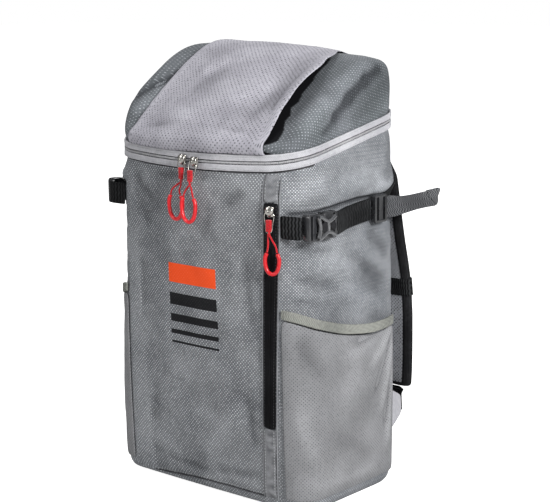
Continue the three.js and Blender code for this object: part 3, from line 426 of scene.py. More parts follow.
def move_cloth(piece, height_of):
    """Moves each point of a piece along its normal by a height, and keeps the height for the fold shade, which
    paints shade and light from it.
    """
    mesh = piece.data
    shades = []
    normals = [v.normal.copy() for v in mesh.vertices]
    for vertex, normal in zip(mesh.vertices, normals):
        height = height_of(vertex.co, normal)
        vertex.co += normal * height
        shades.append(height)
    mesh.attributes.new("fold", "FLOAT", "POINT").data.foreach_set("value", shades)
    mesh.update()
    return piece


def fold(place, start, end, width, height):
    """Height of a soft fold along a line, at a place, all on the spread cloth."""
    ax, ay = start
    bx, by = end
    dx, dy = bx - ax, by - ay
    length = dx * dx + dy * dy
    t = ((place[0] - ax) * dx + (place[1] - ay) * dy) / length
    if t < -0.3 or t > 1.3:
        return 0.0
    near = min(max(t, 0), 1)
    away = math.hypot(place[0] - ax - dx * near, place[1] - ay - dy * near) / width
    if away > 2.6:
        return 0.0
    fade = smoothstep(t, -0.12, 0.22) * (1 - smoothstep(t, 0.78, 1.12))
    return height * math.exp(-away * away) * fade


def ripple(place, size, seed):
    """Soft uneven ground between -1 and 1."""
    return noise.noise(Vector((place[0] / size, place[1] / size, seed)))


def rim_z(y):
    return RIM_HEIGHT + RIM_SLOPE * (y - RIM_FRONT)


def seam_at(z):
    return lerp(SEAM_LOW, SEAM_HIGH, z / RIM_HEIGHT)


def strap_line(way):
    raise_left = LEFT_RAISE if way < 0 else 0
    return STRAP_HEIGHT + raise_left + STRAP_RISE * smoothstep(abs(way), 150 * MM, 240 * MM)


# Folds on the tub's panels: from and to as way and height, width and height of each, in millimetres.
SIDE_FOLDS = [
    [(118, 336), (182, 343), 6, -2.6],
    [(178, 342), (262, 346), 6, -2.4],
    [(120, 352), (170, 363), 9, 1.6],
    [(190, 356), (250, 366), 10, 1.5],
    [(122, 296), (180, 288), 6, -1.5],
    [(150, 280), (240, 262), 10, 1.3],
    [(130, 262), (200, 244), 8, -1.5],
    [(210, 276), (280, 240), 9, -1.6],
    [(180, 252), (270, 214), 8, 1.2],
    [(126, 238), (160, 232), 6, -1.2],
    [(240, 300), (285, 268), 8, -1.5],
    [(256, 366), (274, 338), 7, 1.6],
]
FRONT_FOLDS = [
    [(-92, 355), (-60, 330), 7, -1.5],
    [(-90, 330), (-66, 300), 7, -1.3],
    [(74, 352), (50, 335), 7, -1.3],
    [(-60, 30), (10, 24), 5, -1.4],
    [(10, 30), (74, 34), 5, -1.3],
    [(-88, 60), (-70, 120), 6, -1.1],
    [(76, 60), (66, 130), 6, -1.1],
    [(78, 200), (70, 290), 6, -1.0],
    [(-50, 362), (40, 364), 5, -1.4],
    [(-96, 180), (-84, 270), 6, -1.1],
]


# The web presses the cloth flat up to these heights over and under its middle. Above it lie a sharp crease
# and a soft swell. All are in millimetres.
PRESSED_OVER = (8.5, 10.5)
PRESSED_UNDER = (12.4, 13.6)
# The crease's depth is kept as fold height too, and paints a dark line of shade above the web.
CREASE = {"over": 12.2, "width": 2.4, "height": -3.8}
SWELL = {"over": 22, "width": 7, "height": 2.6}
FLOOR_SEAM_LEFT = 7.5 * MM
FLOOR_SEAM_RIGHT = 13.5 * MM
FLOOR_SEAM_WIDTH = 2.2 * MM
FLOOR_SEAM_DEPTH = 1.0 * MM
PUCKER_STEP = 3.2 * MM
PUCKER_DEPTH = 0.25 * MM
PUCKER_FROM_SEAM = 9 * MM
PUCKER_WIDTH = 6 * MM


def fold_sum(place, folds, side=1):
    spot = (side * place[0] / MM, place[1] / MM)
    return sum(fold(spot, start, end, width, height) * MM for start, end, width, height in folds)


def swell_of(over, line):
    return line["height"] * math.exp(-((over - line["over"]) / line["width"]) ** 2)


def floor_seam(way):
    """The height of the seam that joins the front panel to the floor."""
    return lerp(FLOOR_SEAM_LEFT, FLOOR_SEAM_RIGHT, smoothstep(way, -90 * MM, 5 * MM))


def tub_height(place, normal):
    """How far the cloth stands off the plain tub, with its folds, creases and seams."""
    if normal.z < -0.6 or place.x * normal.x + place.y * normal.y < 0:
        return 0.0
    way, z = tub_wall.way_of(place)
    side = abs(way)
    spot = (way, z)
    seam = seam_at(z)
    on_strip = smoothstep(side, seam - 6 * MM, seam - 1 * MM)
    on_strip *= 1 - smoothstep(side, seam + 17 * MM, seam + 23 * MM)
    over_strap = (z - strap_line(way)) / MM
    under_strap = 1 - smoothstep(abs(over_strap), *(PRESSED_OVER if over_strap > 0 else PRESSED_UNDER))
    under_strap *= smoothstep(side, 110 * MM, 118 * MM) * (1 - smoothstep(side, 300 * MM, 312 * MM))
    in_pocket = smoothstep(side, POCKET_FRONT - 6 * MM, POCKET_FRONT)
    in_pocket *= 1 - smoothstep(side, POCKET_BACK, POCKET_BACK + 6 * MM)
    in_pocket *= 1 - smoothstep(z, 186 * MM, 205 * MM)
    behind = smoothstep(side, 318 * MM, 330 * MM)
    under_band = smoothstep(z, rim_z(place.y) - 6 * MM, rim_z(place.y) - 1 * MM)
    free = (1 - on_strip) * (1 - under_strap) * (1 - in_pocket) * (1 - under_band)
    height = TUB_SINK
    height += 1.1 * MM * ripple(spot, 34 * MM, 3.1) + 0.45 * MM * ripple(spot, 13 * MM, 8.7)
    height += fold_sum(spot, SIDE_FOLDS, 1 if way > 0 else -1) * (1 - behind)
    height += fold_sum(spot, FRONT_FOLDS)
    on_side = smoothstep(side, 118 * MM, 130 * MM) * (1 - behind)
    height += 0.5 * MM * on_side * ripple((way * 0.22, z), 5.5 * MM, 4.9)
    height += (swell_of(over_strap, SWELL) + swell_of(over_strap, CREASE)) * MM * on_side
    pucker = math.sin(z / PUCKER_STEP) * PUCKER_DEPTH
    height += pucker * math.exp(-((side - seam + PUCKER_FROM_SEAM) / PUCKER_WIDTH) ** 2)
    edge = (z - floor_seam(way)) / FLOOR_SEAM_WIDTH
    height -= FLOOR_SEAM_DEPTH * math.exp(-edge * edge) * (1 - smoothstep(side, seam, seam + 8 * MM))
    return height * free


work = quads_of("body_shell")
cut_long(work, 30 * MM, 3, upright=True)
cut_long(work, 20 * MM, 1, upright=False)
tub = rounded(made("tub", work), 2)
tub_wall = Wall(tree_of(tub))
TUB_HALF_GIRTH = tub_wall.cut(200 * MM)[1][-1]
move_cloth(tub, tub_height)
lay_cloth(tub, tub_wall.way_of, TUB_HALF_GIRTH)
tub_wall = Wall(tree_of(tub))
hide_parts("body_shell")
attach(tub, "root")

# Dotted weave: small pale floats stand in staggered rows on darker ground threads.
dots, given, out = new_group(
    "staggered_dots", {"Place": "Vector", "Pitch": "Float", "Low": "Float", "High": "Float"},
    {"Dots": "Float"})
u, v, _ = dots.parts(given["Place"])
waves = []
for part in (u, v):
    turn = dots.sum("MULTIPLY", dots.sum("DIVIDE", part, given["Pitch"]), 2 * math.pi)
    waves.append(dots.sum("COSINE", turn))
dots.feed(out["Dots"], dots.ramp(dots.sum("MULTIPLY", *waves), given["Low"], given["High"]))
staggered_dots = dots.tree

# Fold shade: painted shade darkens the valleys of folds and creases and painted light brightens their
# crests, from the fold height kept on the mesh.
painted_fold_light, given, out = new_group("painted_fold_shade", {"Colour": "Color", "Fold": "Float"}, {"Colour": "Color"})
DEEP_FOLD = -4.2 * MM
HIGH_FOLD = 2.2 * MM
VALLEY_PAINTED_SHADE = (0.3, 0.3, 0.31, 1)
CREST_PAINTED_LIGHT = (1.25, 1.25, 1.25, 1)
share = painted_fold_light.ramp(given["Fold"], DEEP_FOLD, HIGH_FOLD, 0.0, 1.0)
darker = painted_fold_light.add("ShaderNodeMix", data_type="RGBA", blend_type="MULTIPLY")
darker.inputs["Factor"].default_value = 1.0
painted_fold_light.feed(darker.inputs["A"], given["Colour"])
painted_fold_light.feed(darker.inputs["B"], painted_fold_light.blend(share, VALLEY_PAINTED_SHADE, CREST_PAINTED_LIGHT))
painted_fold_light.feed(out["Colour"], darker.outputs["Result"])
painted_fold_shade = painted_fold_light.tree

WEAVE_ROUGHNESS = 0.78
DOT_SHARE = 0.85
SIDE_START = 112 * MM
SIDE_END = 240 * MM
LEVEL_PITCH = 4.4 * MM
LEVEL_SHADE = (0.06, 0.065, 0.075, 1)
LEVEL_SHARE = 0.2
WEAVE_STRENGTH = 0.5
WEAVE_DEPTH = 0.35 * MM


def weave_finish(name, dark, light, dot, pitch, low, high, lift=1.0, side_pitch=None):
    """Cloth with a dotted weave: dots lighter than the ground stand proud, darker ones are holes. With a side
    pitch, the dots stand closer and fade on the bag's sides, among faint level lines."""
    finish = Finish(name, roughness=WEAVE_ROUGHNESS)
    cloth = finish.cloth_place()
    if side_pitch:
        along = finish.sum("ABSOLUTE", finish.parts(cloth)[0])
        on_side = finish.ramp(along, SIDE_START, SIDE_START + 2 * MM)
        pitch = finish.sum("ADD", finish.sum("MULTIPLY", on_side, side_pitch - pitch), pitch)
    mask = finish.group(staggered_dots, Place=cloth, Pitch=pitch, Low=low, High=high)["Dots"]
    uneven = finish.ramp(finish.noise(finish.object_place(), 300, 2), 0.32, 0.66, 0.3, 1.0)
    mask = finish.sum("MULTIPLY", mask, uneven)
    if side_pitch:
        mask = finish.sum("MULTIPLY", mask, finish.ramp(along, SIDE_START, SIDE_END, 1.0, 0.4))
    ground = finish.cloudy(dark, light)
    dotted = finish.blend(finish.sum("MULTIPLY", mask, DOT_SHARE), ground, dot)
    if side_pitch:
        level = finish.sum("COSINE", finish.sum("MULTIPLY", finish.parts(cloth)[1], 2 * math.pi / LEVEL_PITCH))
        patches = finish.ramp(finish.noise(finish.object_place(), 22, 2), 0.4, 0.62)
        lines = finish.sum("MULTIPLY", finish.ramp(level, -0.2, 0.9), finish.sum("MULTIPLY", patches, on_side))
        dotted = finish.blend(finish.sum("MULTIPLY", lines, LEVEL_SHARE), dotted, LEVEL_SHADE)
    # The kept fold height paints shade into the valleys and light onto the crests.
    fold_height = finish.kept("fold")
    finish.colour(finish.group(painted_fold_shade, Colour=dotted, Fold=fold_height)["Colour"])
    threads = finish.noise(finish.object_place(), 900, 1)
    finish.bump(finish.sum("ADD", finish.sum("MULTIPLY", mask, lift), finish.sum("MULTIPLY", threads, 0.4)),
                WEAVE_STRENGTH, WEAVE_DEPTH)
    return finish


tub_finish = weave_finish(
    "grey_dotted_weave", TUB_DARK, TUB_LIGHT, TUB_DOT, TUB_PITCH, 0.35, 0.8, side_pitch=TUB_SIDE_PITCH)

# A plain screen print on the front: five level bars of falling height, in orange-red and matt black.
PRINT_EDGE = 0.3 * MM
PRINT_COVER = 0.96
bar, given, out = new_group(
    "printed_bar", {"Place": "Vector", "Middle": "Vector", "Half": "Vector", "Ink": "Float"}, {"Mask": "Float"})
offset = bar.add("ShaderNodeVectorMath", operation="SUBTRACT")
bar.feed(offset.inputs[0], given["Place"])
bar.feed(offset.inputs[1], given["Middle"])
distance = bar.add("ShaderNodeVectorMath", operation="ABSOLUTE")
bar.feed(distance.inputs[0], offset.outputs[0])
inside = bar.add("ShaderNodeVectorMath", operation="SUBTRACT")
bar.feed(inside.inputs[0], distance.outputs[0])
bar.feed(inside.inputs[1], given["Half"])
over_x, over_y, _ = bar.parts(inside.outputs[0])
worst = bar.sum("MAXIMUM", over_x, over_y)
bar.feed(out["Mask"], bar.sum("MULTIPLY", bar.ramp(worst, -PRINT_EDGE, PRINT_EDGE, 1.0, 0.0), given["Ink"]))
printed_bar = bar.tree
INK_BLACK = (0.006, 0.006, 0.007, 1)
INK_ORANGE = (0.78, 0.075, 0.012, 1)
PRINT_MIDDLE = -5
PRINT_BARS = [
    {"height": 252, "half": (36, 11), "ink": INK_ORANGE},
    {"height": 222, "half": (36, 7), "ink": INK_BLACK},
    {"height": 200, "half": (36, 4.4), "ink": INK_BLACK},
    {"height": 184, "half": (36, 2.6), "ink": INK_BLACK},
    {"height": 172, "half": (36, 1.3), "ink": INK_BLACK},
]
printed = tub_finish.shader.inputs["Base Color"].links[0].from_socket
for stripe in PRINT_BARS:
    mask = tub_finish.group(
        printed_bar, Place=tub_finish.cloth_place(), Middle=(PRINT_MIDDLE * MM, stripe["height"] * MM, 0),
        Half=(stripe["half"][0] * MM, stripe["half"][1] * MM, 0), Ink=PRINT_COVER)["Mask"]
    printed = tub_finish.blend(mask, printed, stripe["ink"])
tub_finish.colour(printed)
tub.data.materials.append(tub_finish.material)

# Lid: a padded dome of a darker cloth of the same kind, sewn to the upper zip tape, with a ridge at its left
# and soft dents where the flap pulls on it.
LID_DARK = (0.085, 0.095, 0.1, 1)
LID_LIGHT = (0.13, 0.138, 0.15, 1)
LID_DOT = (0.42, 0.44, 0.47, 1)
LID_PITCH = 4.1 * MM
NEAR_BLACK = (0.006, 0.006, 0.007, 1)
LID_MIDDLE = Vector((0, -0.008, 0.4))
DRAPE_MIDDLE = Vector((0, -0.008, 0.372))


class Drape:
    """Finds places on a cloth that runs over the bag from front to back: the way across and the way over."""

    def __init__(self, tree, columns=24, half_width=0.138, steps=240):
        self.tree = tree
        self.half_width = half_width
        self.columns = columns
        self.steps = steps
        self.rows = []
        for c in range(columns + 1):
            x = lerp(-half_width, half_width, c / columns) * 0.995
            total, rows, last = 0.0, [], None
            for i in range(steps + 1):
                angle = math.pi * (i / steps)
                way = Vector((0, -math.cos(angle), math.sin(angle)))
                hit = tree.ray_cast(Vector((x, DRAPE_MIDDLE.y, DRAPE_MIDDLE.z)) + way * 0.5, -way)[0]
                if hit and last:
                    total += (hit - last).length
                last = hit or last
                rows.append(total)
            self.rows.append(rows)

    def way_of(self, place):
        column = (place.x / self.half_width + 1) / 2 * self.columns
        c = int(min(max(column, 0), self.columns - 1))
        angle = math.atan2(place.z - DRAPE_MIDDLE.z, -(place.y - DRAPE_MIDDLE.y))
        spot = min(max(angle / math.pi, 0), 1) * self.steps
        i = min(int(spot), self.steps - 1)
        over = [lerp(self.rows[k][i], self.rows[k][i + 1], spot - i) for k in (c, c + 1)]
        return place.x, lerp(over[0], over[1], min(max(column - c, 0), 1))


LID_DEEPEST = -3.4 * MM
LID_FOLDS = [
    [(135, 56, 479), (137, 19, 461), 7, -3.4],
    [(137, 30, 467), (137, -12, 443), 7, -3.6],
    [(137, 0, 450), (137, -34, 425), 7, -3.2],
    [(137, -26, 431), (136, -52, 406), 6, -2.4],
    [(122, 40, 478), (126, -20, 456), 9, 2.0],
    [(124, -30, 450), (126, -78, 414), 10, 2.4],
    [(-98, -14, 470), (-116, -46, 454), 5, -2.6],
    [(-112, -38, 458), (-131, -67, 438), 5, -2.4],
    [(-108, -60, 440), (-118, -80, 420), 8, 1.8],
    [(-106, -40, 452), (-100, -80, 428), 7, 1.4],
    [(137, 70, 440), (137, 40, 408), 12, 1.4],
    [(137, 4, 418), (137, -30, 402), 8, 1.6],
    [(60, 93, 450), (-60, 93, 440), 12, -2.0],
    [(100, 88, 420), (20, 93, 412), 10, 1.5],
]
# Under the open side of the flap the lid is coloured near-black, up to a line through these places: the way
# back and the way across, in millimetres.
UNDER_FLAP_BLACK_EDGE = [
    (-104, 94), (-99, 104), (-93, 109.5), (-82, 108.5), (-72, 102), (-64, 102.5), (-55, 96.5), (-44, 98),
    (-32, 94), (-20, 95), (-5, 91.5), (8, 92.5), (19, 90), (32, 82), (46, 60)]


def lid_height(place, normal):
    """How far the cloth stands off the plain dome, with its folds and dents."""
    if (place - LID_MIDDLE).dot(normal) < 0 or place.z < rim_z(place.y) + 12 * MM:
        return 0.0
    spot = (place.x + place.y * 0.4, place.z - place.y * 0.5)
    height = -0.6 * MM + 1.3 * MM * ripple(spot, 40 * MM, 5.2) + 0.5 * MM * ripple(spot, 15 * MM, 1.4)
    for start, end, width, lift in LID_FOLDS:
        a, b = Vector(start) * MM, Vector(end) * MM
        line = b - a
        t = (place - a).dot(line) / line.length_squared
        near = a + line * min(max(t, 0), 1)
        away = (place - near).length / (width * MM)
        fade = smoothstep(t, -0.12, 0.2) * (1 - smoothstep(t, 0.8, 1.12))
        height += lift * MM * math.exp(-away * away) * fade
    calm = smoothstep(place.z, rim_z(place.y) + 18 * MM, rim_z(place.y) + 30 * MM)
    return max(height, LID_DEEPEST) * calm


def under_flap_black_share(place):
    """1 where the lid is coloured near-black under the flap, and 0 outside that line."""
    if place.x < 0 or place.y < UNDER_FLAP_BLACK_EDGE[0][0] * MM or place.y > UNDER_FLAP_BLACK_EDGE[-1][0] * MM:
        return 0.0
    k = 1
    while UNDER_FLAP_BLACK_EDGE[k][0] * MM < place.y:
        k += 1
    (y0, x0), (y1, x1) = UNDER_FLAP_BLACK_EDGE[k - 1], UNDER_FLAP_BLACK_EDGE[k]
    edge = lerp(x0, x1, (place.y / MM - y0) / (y1 - y0)) * MM
    return 1 - smoothstep(place.x, edge - 0.4 * MM, edge + 0.6 * MM)


LID_SHOULDER = 84 * MM
LID_SLOPE = math.radians(34)
LID_AXIS = Vector((0, 0, 0.38))
LID_RADIUS = 128 * MM


def lay_lid_cloth():
    """The lid's cloth map: outside the flap the weave runs with the lid's slope and bends over its shoulders.
    Under the flap and on the back it runs from front to back."""
    layer = lid.data.uv_layers.new(name="cloth")
    slope = Vector((0, math.cos(LID_SLOPE), math.sin(LID_SLOPE)))
    lift = Vector((0, -math.sin(LID_SLOPE), math.cos(LID_SLOPE)))
    for face in lid.data.polygons:
        on_shoulder = abs(face.center.x) > LID_SHOULDER and face.normal.y < 0.5
        for loop in face.loop_indices:
            place = lid.data.vertices[lid.data.loops[loop].vertex_index].co
            if on_shoulder:
                turn = math.atan2((place - LID_AXIS).dot(lift), abs(place.x))
                layer.data[loop].uv = (place.dot(slope), turn * LID_RADIUS)
            else:
                layer.data[loop].uv = lid_drape.way_of(place)


lid = rounded(made("lid", quads_of("lid_shell")), 3)
lid_drape = Drape(tree_of(lid))
move_cloth(lid, lid_height)
lay_lid_cloth()
lid.data.attributes.new("under_flap_black", "FLOAT", "POINT").data.foreach_set(
    "value", [under_flap_black_share(v.co) for v in lid.data.vertices])
lid_finish = weave_finish("lid_dotted_weave", LID_DARK, LID_LIGHT, LID_DOT, LID_PITCH, 0.5, 0.95)
# The lid's colour turns near-black under the open side of the flap.
under_flap_black_mark = lid_finish.kept("under_flap_black")
outer_colour = lid_finish.shader.inputs["Base Color"].links[0].from_socket
lid_finish.colour(lid_finish.blend(under_flap_black_mark, outer_colour, NEAR_BLACK))
lid.data.materials.append(lid_finish.material)
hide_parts("lid_shell")
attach(lid, "root")

# Flap: one layer of perforated cloth over the lid, sewn down at the band in front and behind. Its sides are
# turned under and stitched, and the right one stands open.
FLAP_DARK = (0.27, 0.265, 0.295, 1)
FLAP_LIGHT = (0.35, 0.345, 0.38, 1)
FLAP_HOLE = (0.03, 0.03, 0.036, 1)
FLAP_PITCH = 5.6 * MM
FLAP_HALF_WIDTH = 100 * MM
FLAP_HEM = 8 * MM
FLAP_GATHER = 26 * MM
FLAP_SPREAD = 8 * MM
FLAP_LOWEST = -1.6 * MM
NEAR_BLACK_LIGHTER = (0.02, 0.02, 0.022, 1)
FLAP_FOLDS = [
    [(-78, -98, 413), (80, -98, 414), 5, -1.5],
    [(-60, -30, 472), (-34, -6, 482), 12, 1.6],
    [(-46, -60, 452), (-30, -20, 476), 14, -1.0],
    [(92, -78, 431), (98, -24, 466), 13, -2.6],
    [(20, -70, 442), (56, -36, 462), 16, 1.8],
    [(10, -30, 470), (50, 30, 490), 18, 1.2],
    [(-70, -80, 434), (-10, -96, 420), 10, 1.4],
    [(60, -86, 424), (84, -40, 456), 9, -1.4],
]


def flap_height(place, normal):
    """How far the flap stands off its plain sheet. The side that faces the lid stays as it is."""
    if (place - LID_MIDDLE).dot(normal) < 0:
        return 0.0
    x, over = flap_drape.way_of(place)
    spot = (x, over)
    height = 0.9 * MM * ripple(spot, 45 * MM, 2.2) + 0.35 * MM * ripple(spot, 16 * MM, 6.4) + 0.2 * MM
    for start, end, width, lift in FLAP_FOLDS:
        line = Vector(end) - Vector(start)
        t = (place / MM - Vector(start)).dot(line) / line.length_squared
        near = Vector(start) + line * min(max(t, 0), 1)
        away = (place / MM - near).length / width
        fade = smoothstep(t, -0.15, 0.2) * (1 - smoothstep(t, 0.8, 1.15))
        height += lift * MM * math.exp(-away * away) * fade
    hem = smoothstep(abs(x), FLAP_HALF_WIDTH - FLAP_HEM - 1 * MM, FLAP_HALF_WIDTH - FLAP_HEM + 0.5 * MM)
    height = max(height, FLAP_LOWEST)
    return height * (1 - 0.7 * hem) + 0.5 * MM * hem


work = quads_of("lid_flap")
cut_long(work, 14 * MM, 1)
flap = rounded(made("flap", work), 2)
for vertex in flap.data.vertices:
    gathered = smoothstep(vertex.co.y, 5 * MM, 70 * MM) * (1 - smoothstep(vertex.co.y, 78 * MM, 100 * MM))
    spread = smoothstep(vertex.co.y, -98 * MM, -62 * MM) * (1 - smoothstep(vertex.co.y, -22 * MM, 8 * MM))
    vertex.co.x += (FLAP_SPREAD * spread - FLAP_GATHER * gathered) * smoothstep(vertex.co.x, 35 * MM, 100 * MM)
flap_drape = Drape(tree_of(flap), half_width=FLAP_HALF_WIDTH)
move_cloth(flap, flap_height)
lay_cloth(flap, flap_drape.way_of)
flap_finish = weave_finish(
    "perforated_flap_cloth", FLAP_DARK, FLAP_LIGHT, FLAP_HOLE, FLAP_PITCH, 0.3, 0.8, lift=-1.4)
flap.data.materials.append(flap_finish.material)
# Near-black cloth for the flap's side that faces the lid; the buckles' painted shade lumps use it too.
near_black_and_shade_finish = Finish("near_black_and_painted_shade", roughness=0.8)
near_black_and_shade_finish.colour(near_black_and_shade_finish.cloudy(NEAR_BLACK, NEAR_BLACK_LIGHTER))
near_black_and_shade_finish.grain(600, 0.3, 0.2 * MM)
flap.data.materials.append(near_black_and_shade_finish.material)
for face in flap.data.polygons:
    if (face.center - LID_MIDDLE).dot(face.normal) < 0:
        face.material_index = 1
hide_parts("lid_flap")
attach(flap, "root")

# Sewing thread: polyester, pale on the grey cloth and dark on the zip and in the seams. The dark thread also
# draws the painted shadow line under the zip band. The stitches lie in rows, each sunk a little into the
# cloth at its ends.
THREAD_DARK = (0.26, 0.265, 0.27, 1)
THREAD_LIGHT = (0.4, 0.41, 0.42, 1)
DARK_THREAD_DARK = (0.03, 0.03, 0.032, 1)
DARK_THREAD_LIGHT = (0.06, 0.06, 0.064, 1)
STITCH_LENGTH = 2.3 * MM
STITCH_THICK = 0.75 * MM
STITCH_STEP = 3.3 * MM

thread_finish = Finish("pale_thread", roughness=0.7)
thread_finish.colour(thread_finish.cloudy(THREAD_DARK, THREAD_LIGHT))
dark_thread_and_shadow_finish = Finish("dark_thread_and_painted_shadow", roughness=0.7)
dark_thread_and_shadow_finish.colour(dark_thread_and_shadow_finish.cloudy(DARK_THREAD_DARK, DARK_THREAD_LIGHT))


def along_wall(wall, path, start, end, step=STITCH_STEP):
    """Places, ways ahead and outward directions at even steps of a path on a wall."""
    count = max(int(round((end - start) / step)), 1)
    frames = []
    for i in range(count):
        spot = start + (i + 0.5) * (end - start) / count
        place, out_way = wall.at(*path(spot))
        ahead = wall.at(*path(spot + 1 * MM))[0] - place
        frames.append((place, ahead.normalized(), out_way))
    return frames


def stitches(name, rows, finish=thread_finish, length=STITCH_LENGTH, thick=STITCH_THICK):
    """One piece of all the stitches of some rows."""
    whole = bmesh.new()
    for frames in rows:
        row = bmesh.new()
        for place, ahead, out_way in frames:
            across = out_way.cross(ahead).normalized()
            matrix = facing_matrix(place, ahead * length, across * thick, across.cross(-ahead) * thick * 0.8)
            bmesh.ops.create_uvsphere(row, u_segments=6, v_segments=4, radius=0.5, matrix=matrix)
        bmesh.ops.recalc_face_normals(row, faces=row.faces)
        row_mesh = bpy.data.meshes.new("row")
        row.to_mesh(row_mesh)
        row.free()
        whole.from_mesh(row_mesh)
        bpy.data.meshes.remove(row_mesh)
    piece = made(name, whole, finish)
    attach(piece, "root")
    return piece


def thin_tube(name, points, diameter, finish):
    """A cord along points, as a curve of one open spline."""
    curve = bpy.data.curves.new(name, "CURVE")
    curve.dimensions = "3D"
    line = curve.splines.new("BEZIER")
    line.bezier_points.add(len(points) - 1)
    for knot, point in zip(line.bezier_points, points):
        knot.co = point
        knot.handle_left_type = "AUTO"
        knot.handle_right_type = "AUTO"
    line.resolution_u = 6
    curve.bevel_depth = diameter / 2
    curve.bevel_resolution = 3
    curve.use_fill_caps = True
    curve.materials.append(finish.material)
    piece = shown(name, curve)
    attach(piece, "root")
    return piece


def tub_top(way):
    """The rim's height at a way along it, just below the zip band."""
    height = RIM_HEIGHT
    for _ in range(4):
        height = rim_z(tub_wall.at(way, height - 6 * MM)[0].y)
    return height


RIB_STRENGTH = 0.6
RIB_DEPTH = 0.4 * MM


def ribbed_finish(name, dark, light, pitch, stripe, lean, roughness=0.75, contrast=0.6, valley_tone=0.45, painted_fold_gain=0.0):
    """Woven tape and webbing: ribs over its width that slant to and fro in stripes."""
    finish = Finish(name, roughness=roughness)
    u, v, _ = finish.parts(finish.cloth_place())
    zigzag = finish.sum("MULTIPLY", finish.sum("PINGPONG", v, stripe), lean)
    turn = finish.sum("MULTIPLY", finish.sum("ADD", u, zigzag), 2 * math.pi / pitch)
    rib = finish.ramp(finish.sum("COSINE", turn), -0.9, 0.9)
    ground = finish.cloudy(dark, light)
    valley = finish.add("ShaderNodeMix", data_type="RGBA", blend_type="MULTIPLY")
    finish.feed(valley.inputs["Factor"], finish.sum("MULTIPLY", finish.sum("SUBTRACT", 1.0, rib), contrast))
    finish.feed(valley.inputs["A"], ground)
    valley.inputs["B"].default_value = (valley_tone, valley_tone, valley_tone * 1.05, 1)
    shade_now = valley.outputs["Result"]
    # The kept fold height, times the painted fold gain, paints shade into valleys and light onto crests.
    if painted_fold_gain:
        fold_height = finish.sum("MULTIPLY", finish.kept("fold"), painted_fold_gain)
        shade_now = finish.group(painted_fold_shade, Colour=shade_now, Fold=fold_height)["Colour"]
    finish.colour(shade_now)
    finish.bump(rib, RIB_STRENGTH, RIB_DEPTH)
    return finish


# Seams of the tub: piping in the front corner on both sides of the zip's strips, with a row of stitches
# beside it, the seam that joins the panels to the floor, and a dark thread line under the zip band that
# is painted shadow.
PIPING_DARK = (0.13, 0.135, 0.145, 1)
PIPING_LIGHT = (0.2, 0.205, 0.215, 1)
PIPING_DIAMETER = 1.9 * MM
PIPING_OUT = 0.56 * MM
TAPE_RIB = 1.6 * MM
TAPE_STRIPE = 1.4 * MM
CORNER_HEIGHTS = [14, 30, 60, 95, 140, 185, 230, 275, 310, 335, 352, 366]
CORNER_STITCH_FROM_SEAM = 4.8 * MM
FLOOR_SEAM_THICK = 1.5 * MM
FLOOR_STITCH_OVER = 2.6 * MM
BAND_SHADOW_THICK = 1.8 * MM
BAND_SHADOW_REACH = 255 * MM
piping_finish = ribbed_finish("grey_piping", PIPING_DARK, PIPING_LIGHT, TAPE_RIB, TAPE_STRIPE, 1.0)
for seam_name, offset in (("front", -1.2 * MM), ("side", STRIP_WIDTH + 1.4 * MM)):
    points = [tub_wall.at(seam_at(z * MM) + offset, z * MM, PIPING_OUT)[0] for z in CORNER_HEIGHTS]
    thin_tube("corner_piping_" + seam_name, points, PIPING_DIAMETER, piping_finish)
stitches("corner_stitches", [along_wall(
    tub_wall, lambda z: (seam_at(z) - CORNER_STITCH_FROM_SEAM, z, 0.1 * MM), 18 * MM, 372 * MM)])

floor_ways = [lerp(-SEAM_LOW, SEAM_LOW, i / 40) for i in range(41)]
thin_tube("floor_seam", [tub_wall.at(way, floor_seam(way), 0.2 * MM)[0] for way in floor_ways], FLOOR_SEAM_THICK,
          dark_thread_and_shadow_finish)
stitches("floor_seam_stitches", [along_wall(
    tub_wall, lambda way: (way, floor_seam(way) + FLOOR_STITCH_OVER, 0.0), -SEAM_LOW + 3 * MM, SEAM_LOW - 3 * MM)])

# Painted shadow: a dark thread line just under the zip band's lower edge.
band_shadow_ways = [lerp(-BAND_SHADOW_REACH, BAND_SHADOW_REACH, i / 60) for i in range(61)]
thin_tube("band_painted_shadow", [tub_wall.at(way, tub_top(way) - 1.2 * MM, 0.1 * MM)[0] for way in band_shadow_ways],
          BAND_SHADOW_THICK, dark_thread_and_shadow_finish)

# Zip band: a woven tape sewn to the tub, the closed coil, and a tape sewn to the lid, round the front and
# both sides.
TAPE_DARK = (0.384, 0.382, 0.406, 1)
TAPE_LIGHT = (0.52, 0.518, 0.542, 1)
COIL_DARK = (0.3, 0.3, 0.31, 1)
COIL_LIGHT = (0.4, 0.4, 0.41, 1)
BAND_HEIGHT = 18 * MM
BAND_RADIUS = 125 * MM
BAND_REACH = 262 * MM
BAND_STITCHES = (2.2 * MM, 15.8 * MM)
TOOTH_STEP = 1.7 * MM
TOOTH_LENGTH = 2.9 * MM
TOOTH_THICK = 1.25 * MM


def band_tree():
    """The band's two tapes and its coil as one surface to measure on."""
    whole = bmesh.new()
    for node in ("zip_tape_lower", "zip_coil", "zip_tape_upper"):
        whole.from_mesh(nodes[node].data)
    tree = BVHTree.FromBMesh(whole)
    whole.free()
    return tree


band_wall = Wall(band_tree(), base=rim_z)
band_wall.limits = (2 * MM, 16 * MM)


def band_cloth(place):
    turn = math.atan2(place.x, -place.y)
    return turn * BAND_RADIUS, place.z - rim_z(place.y)


def tape_height(place, normal):
    way, height = band_cloth(place)
    return 0.22 * MM * ripple((way, height), 9 * MM, 4.4) - 0.15 * MM


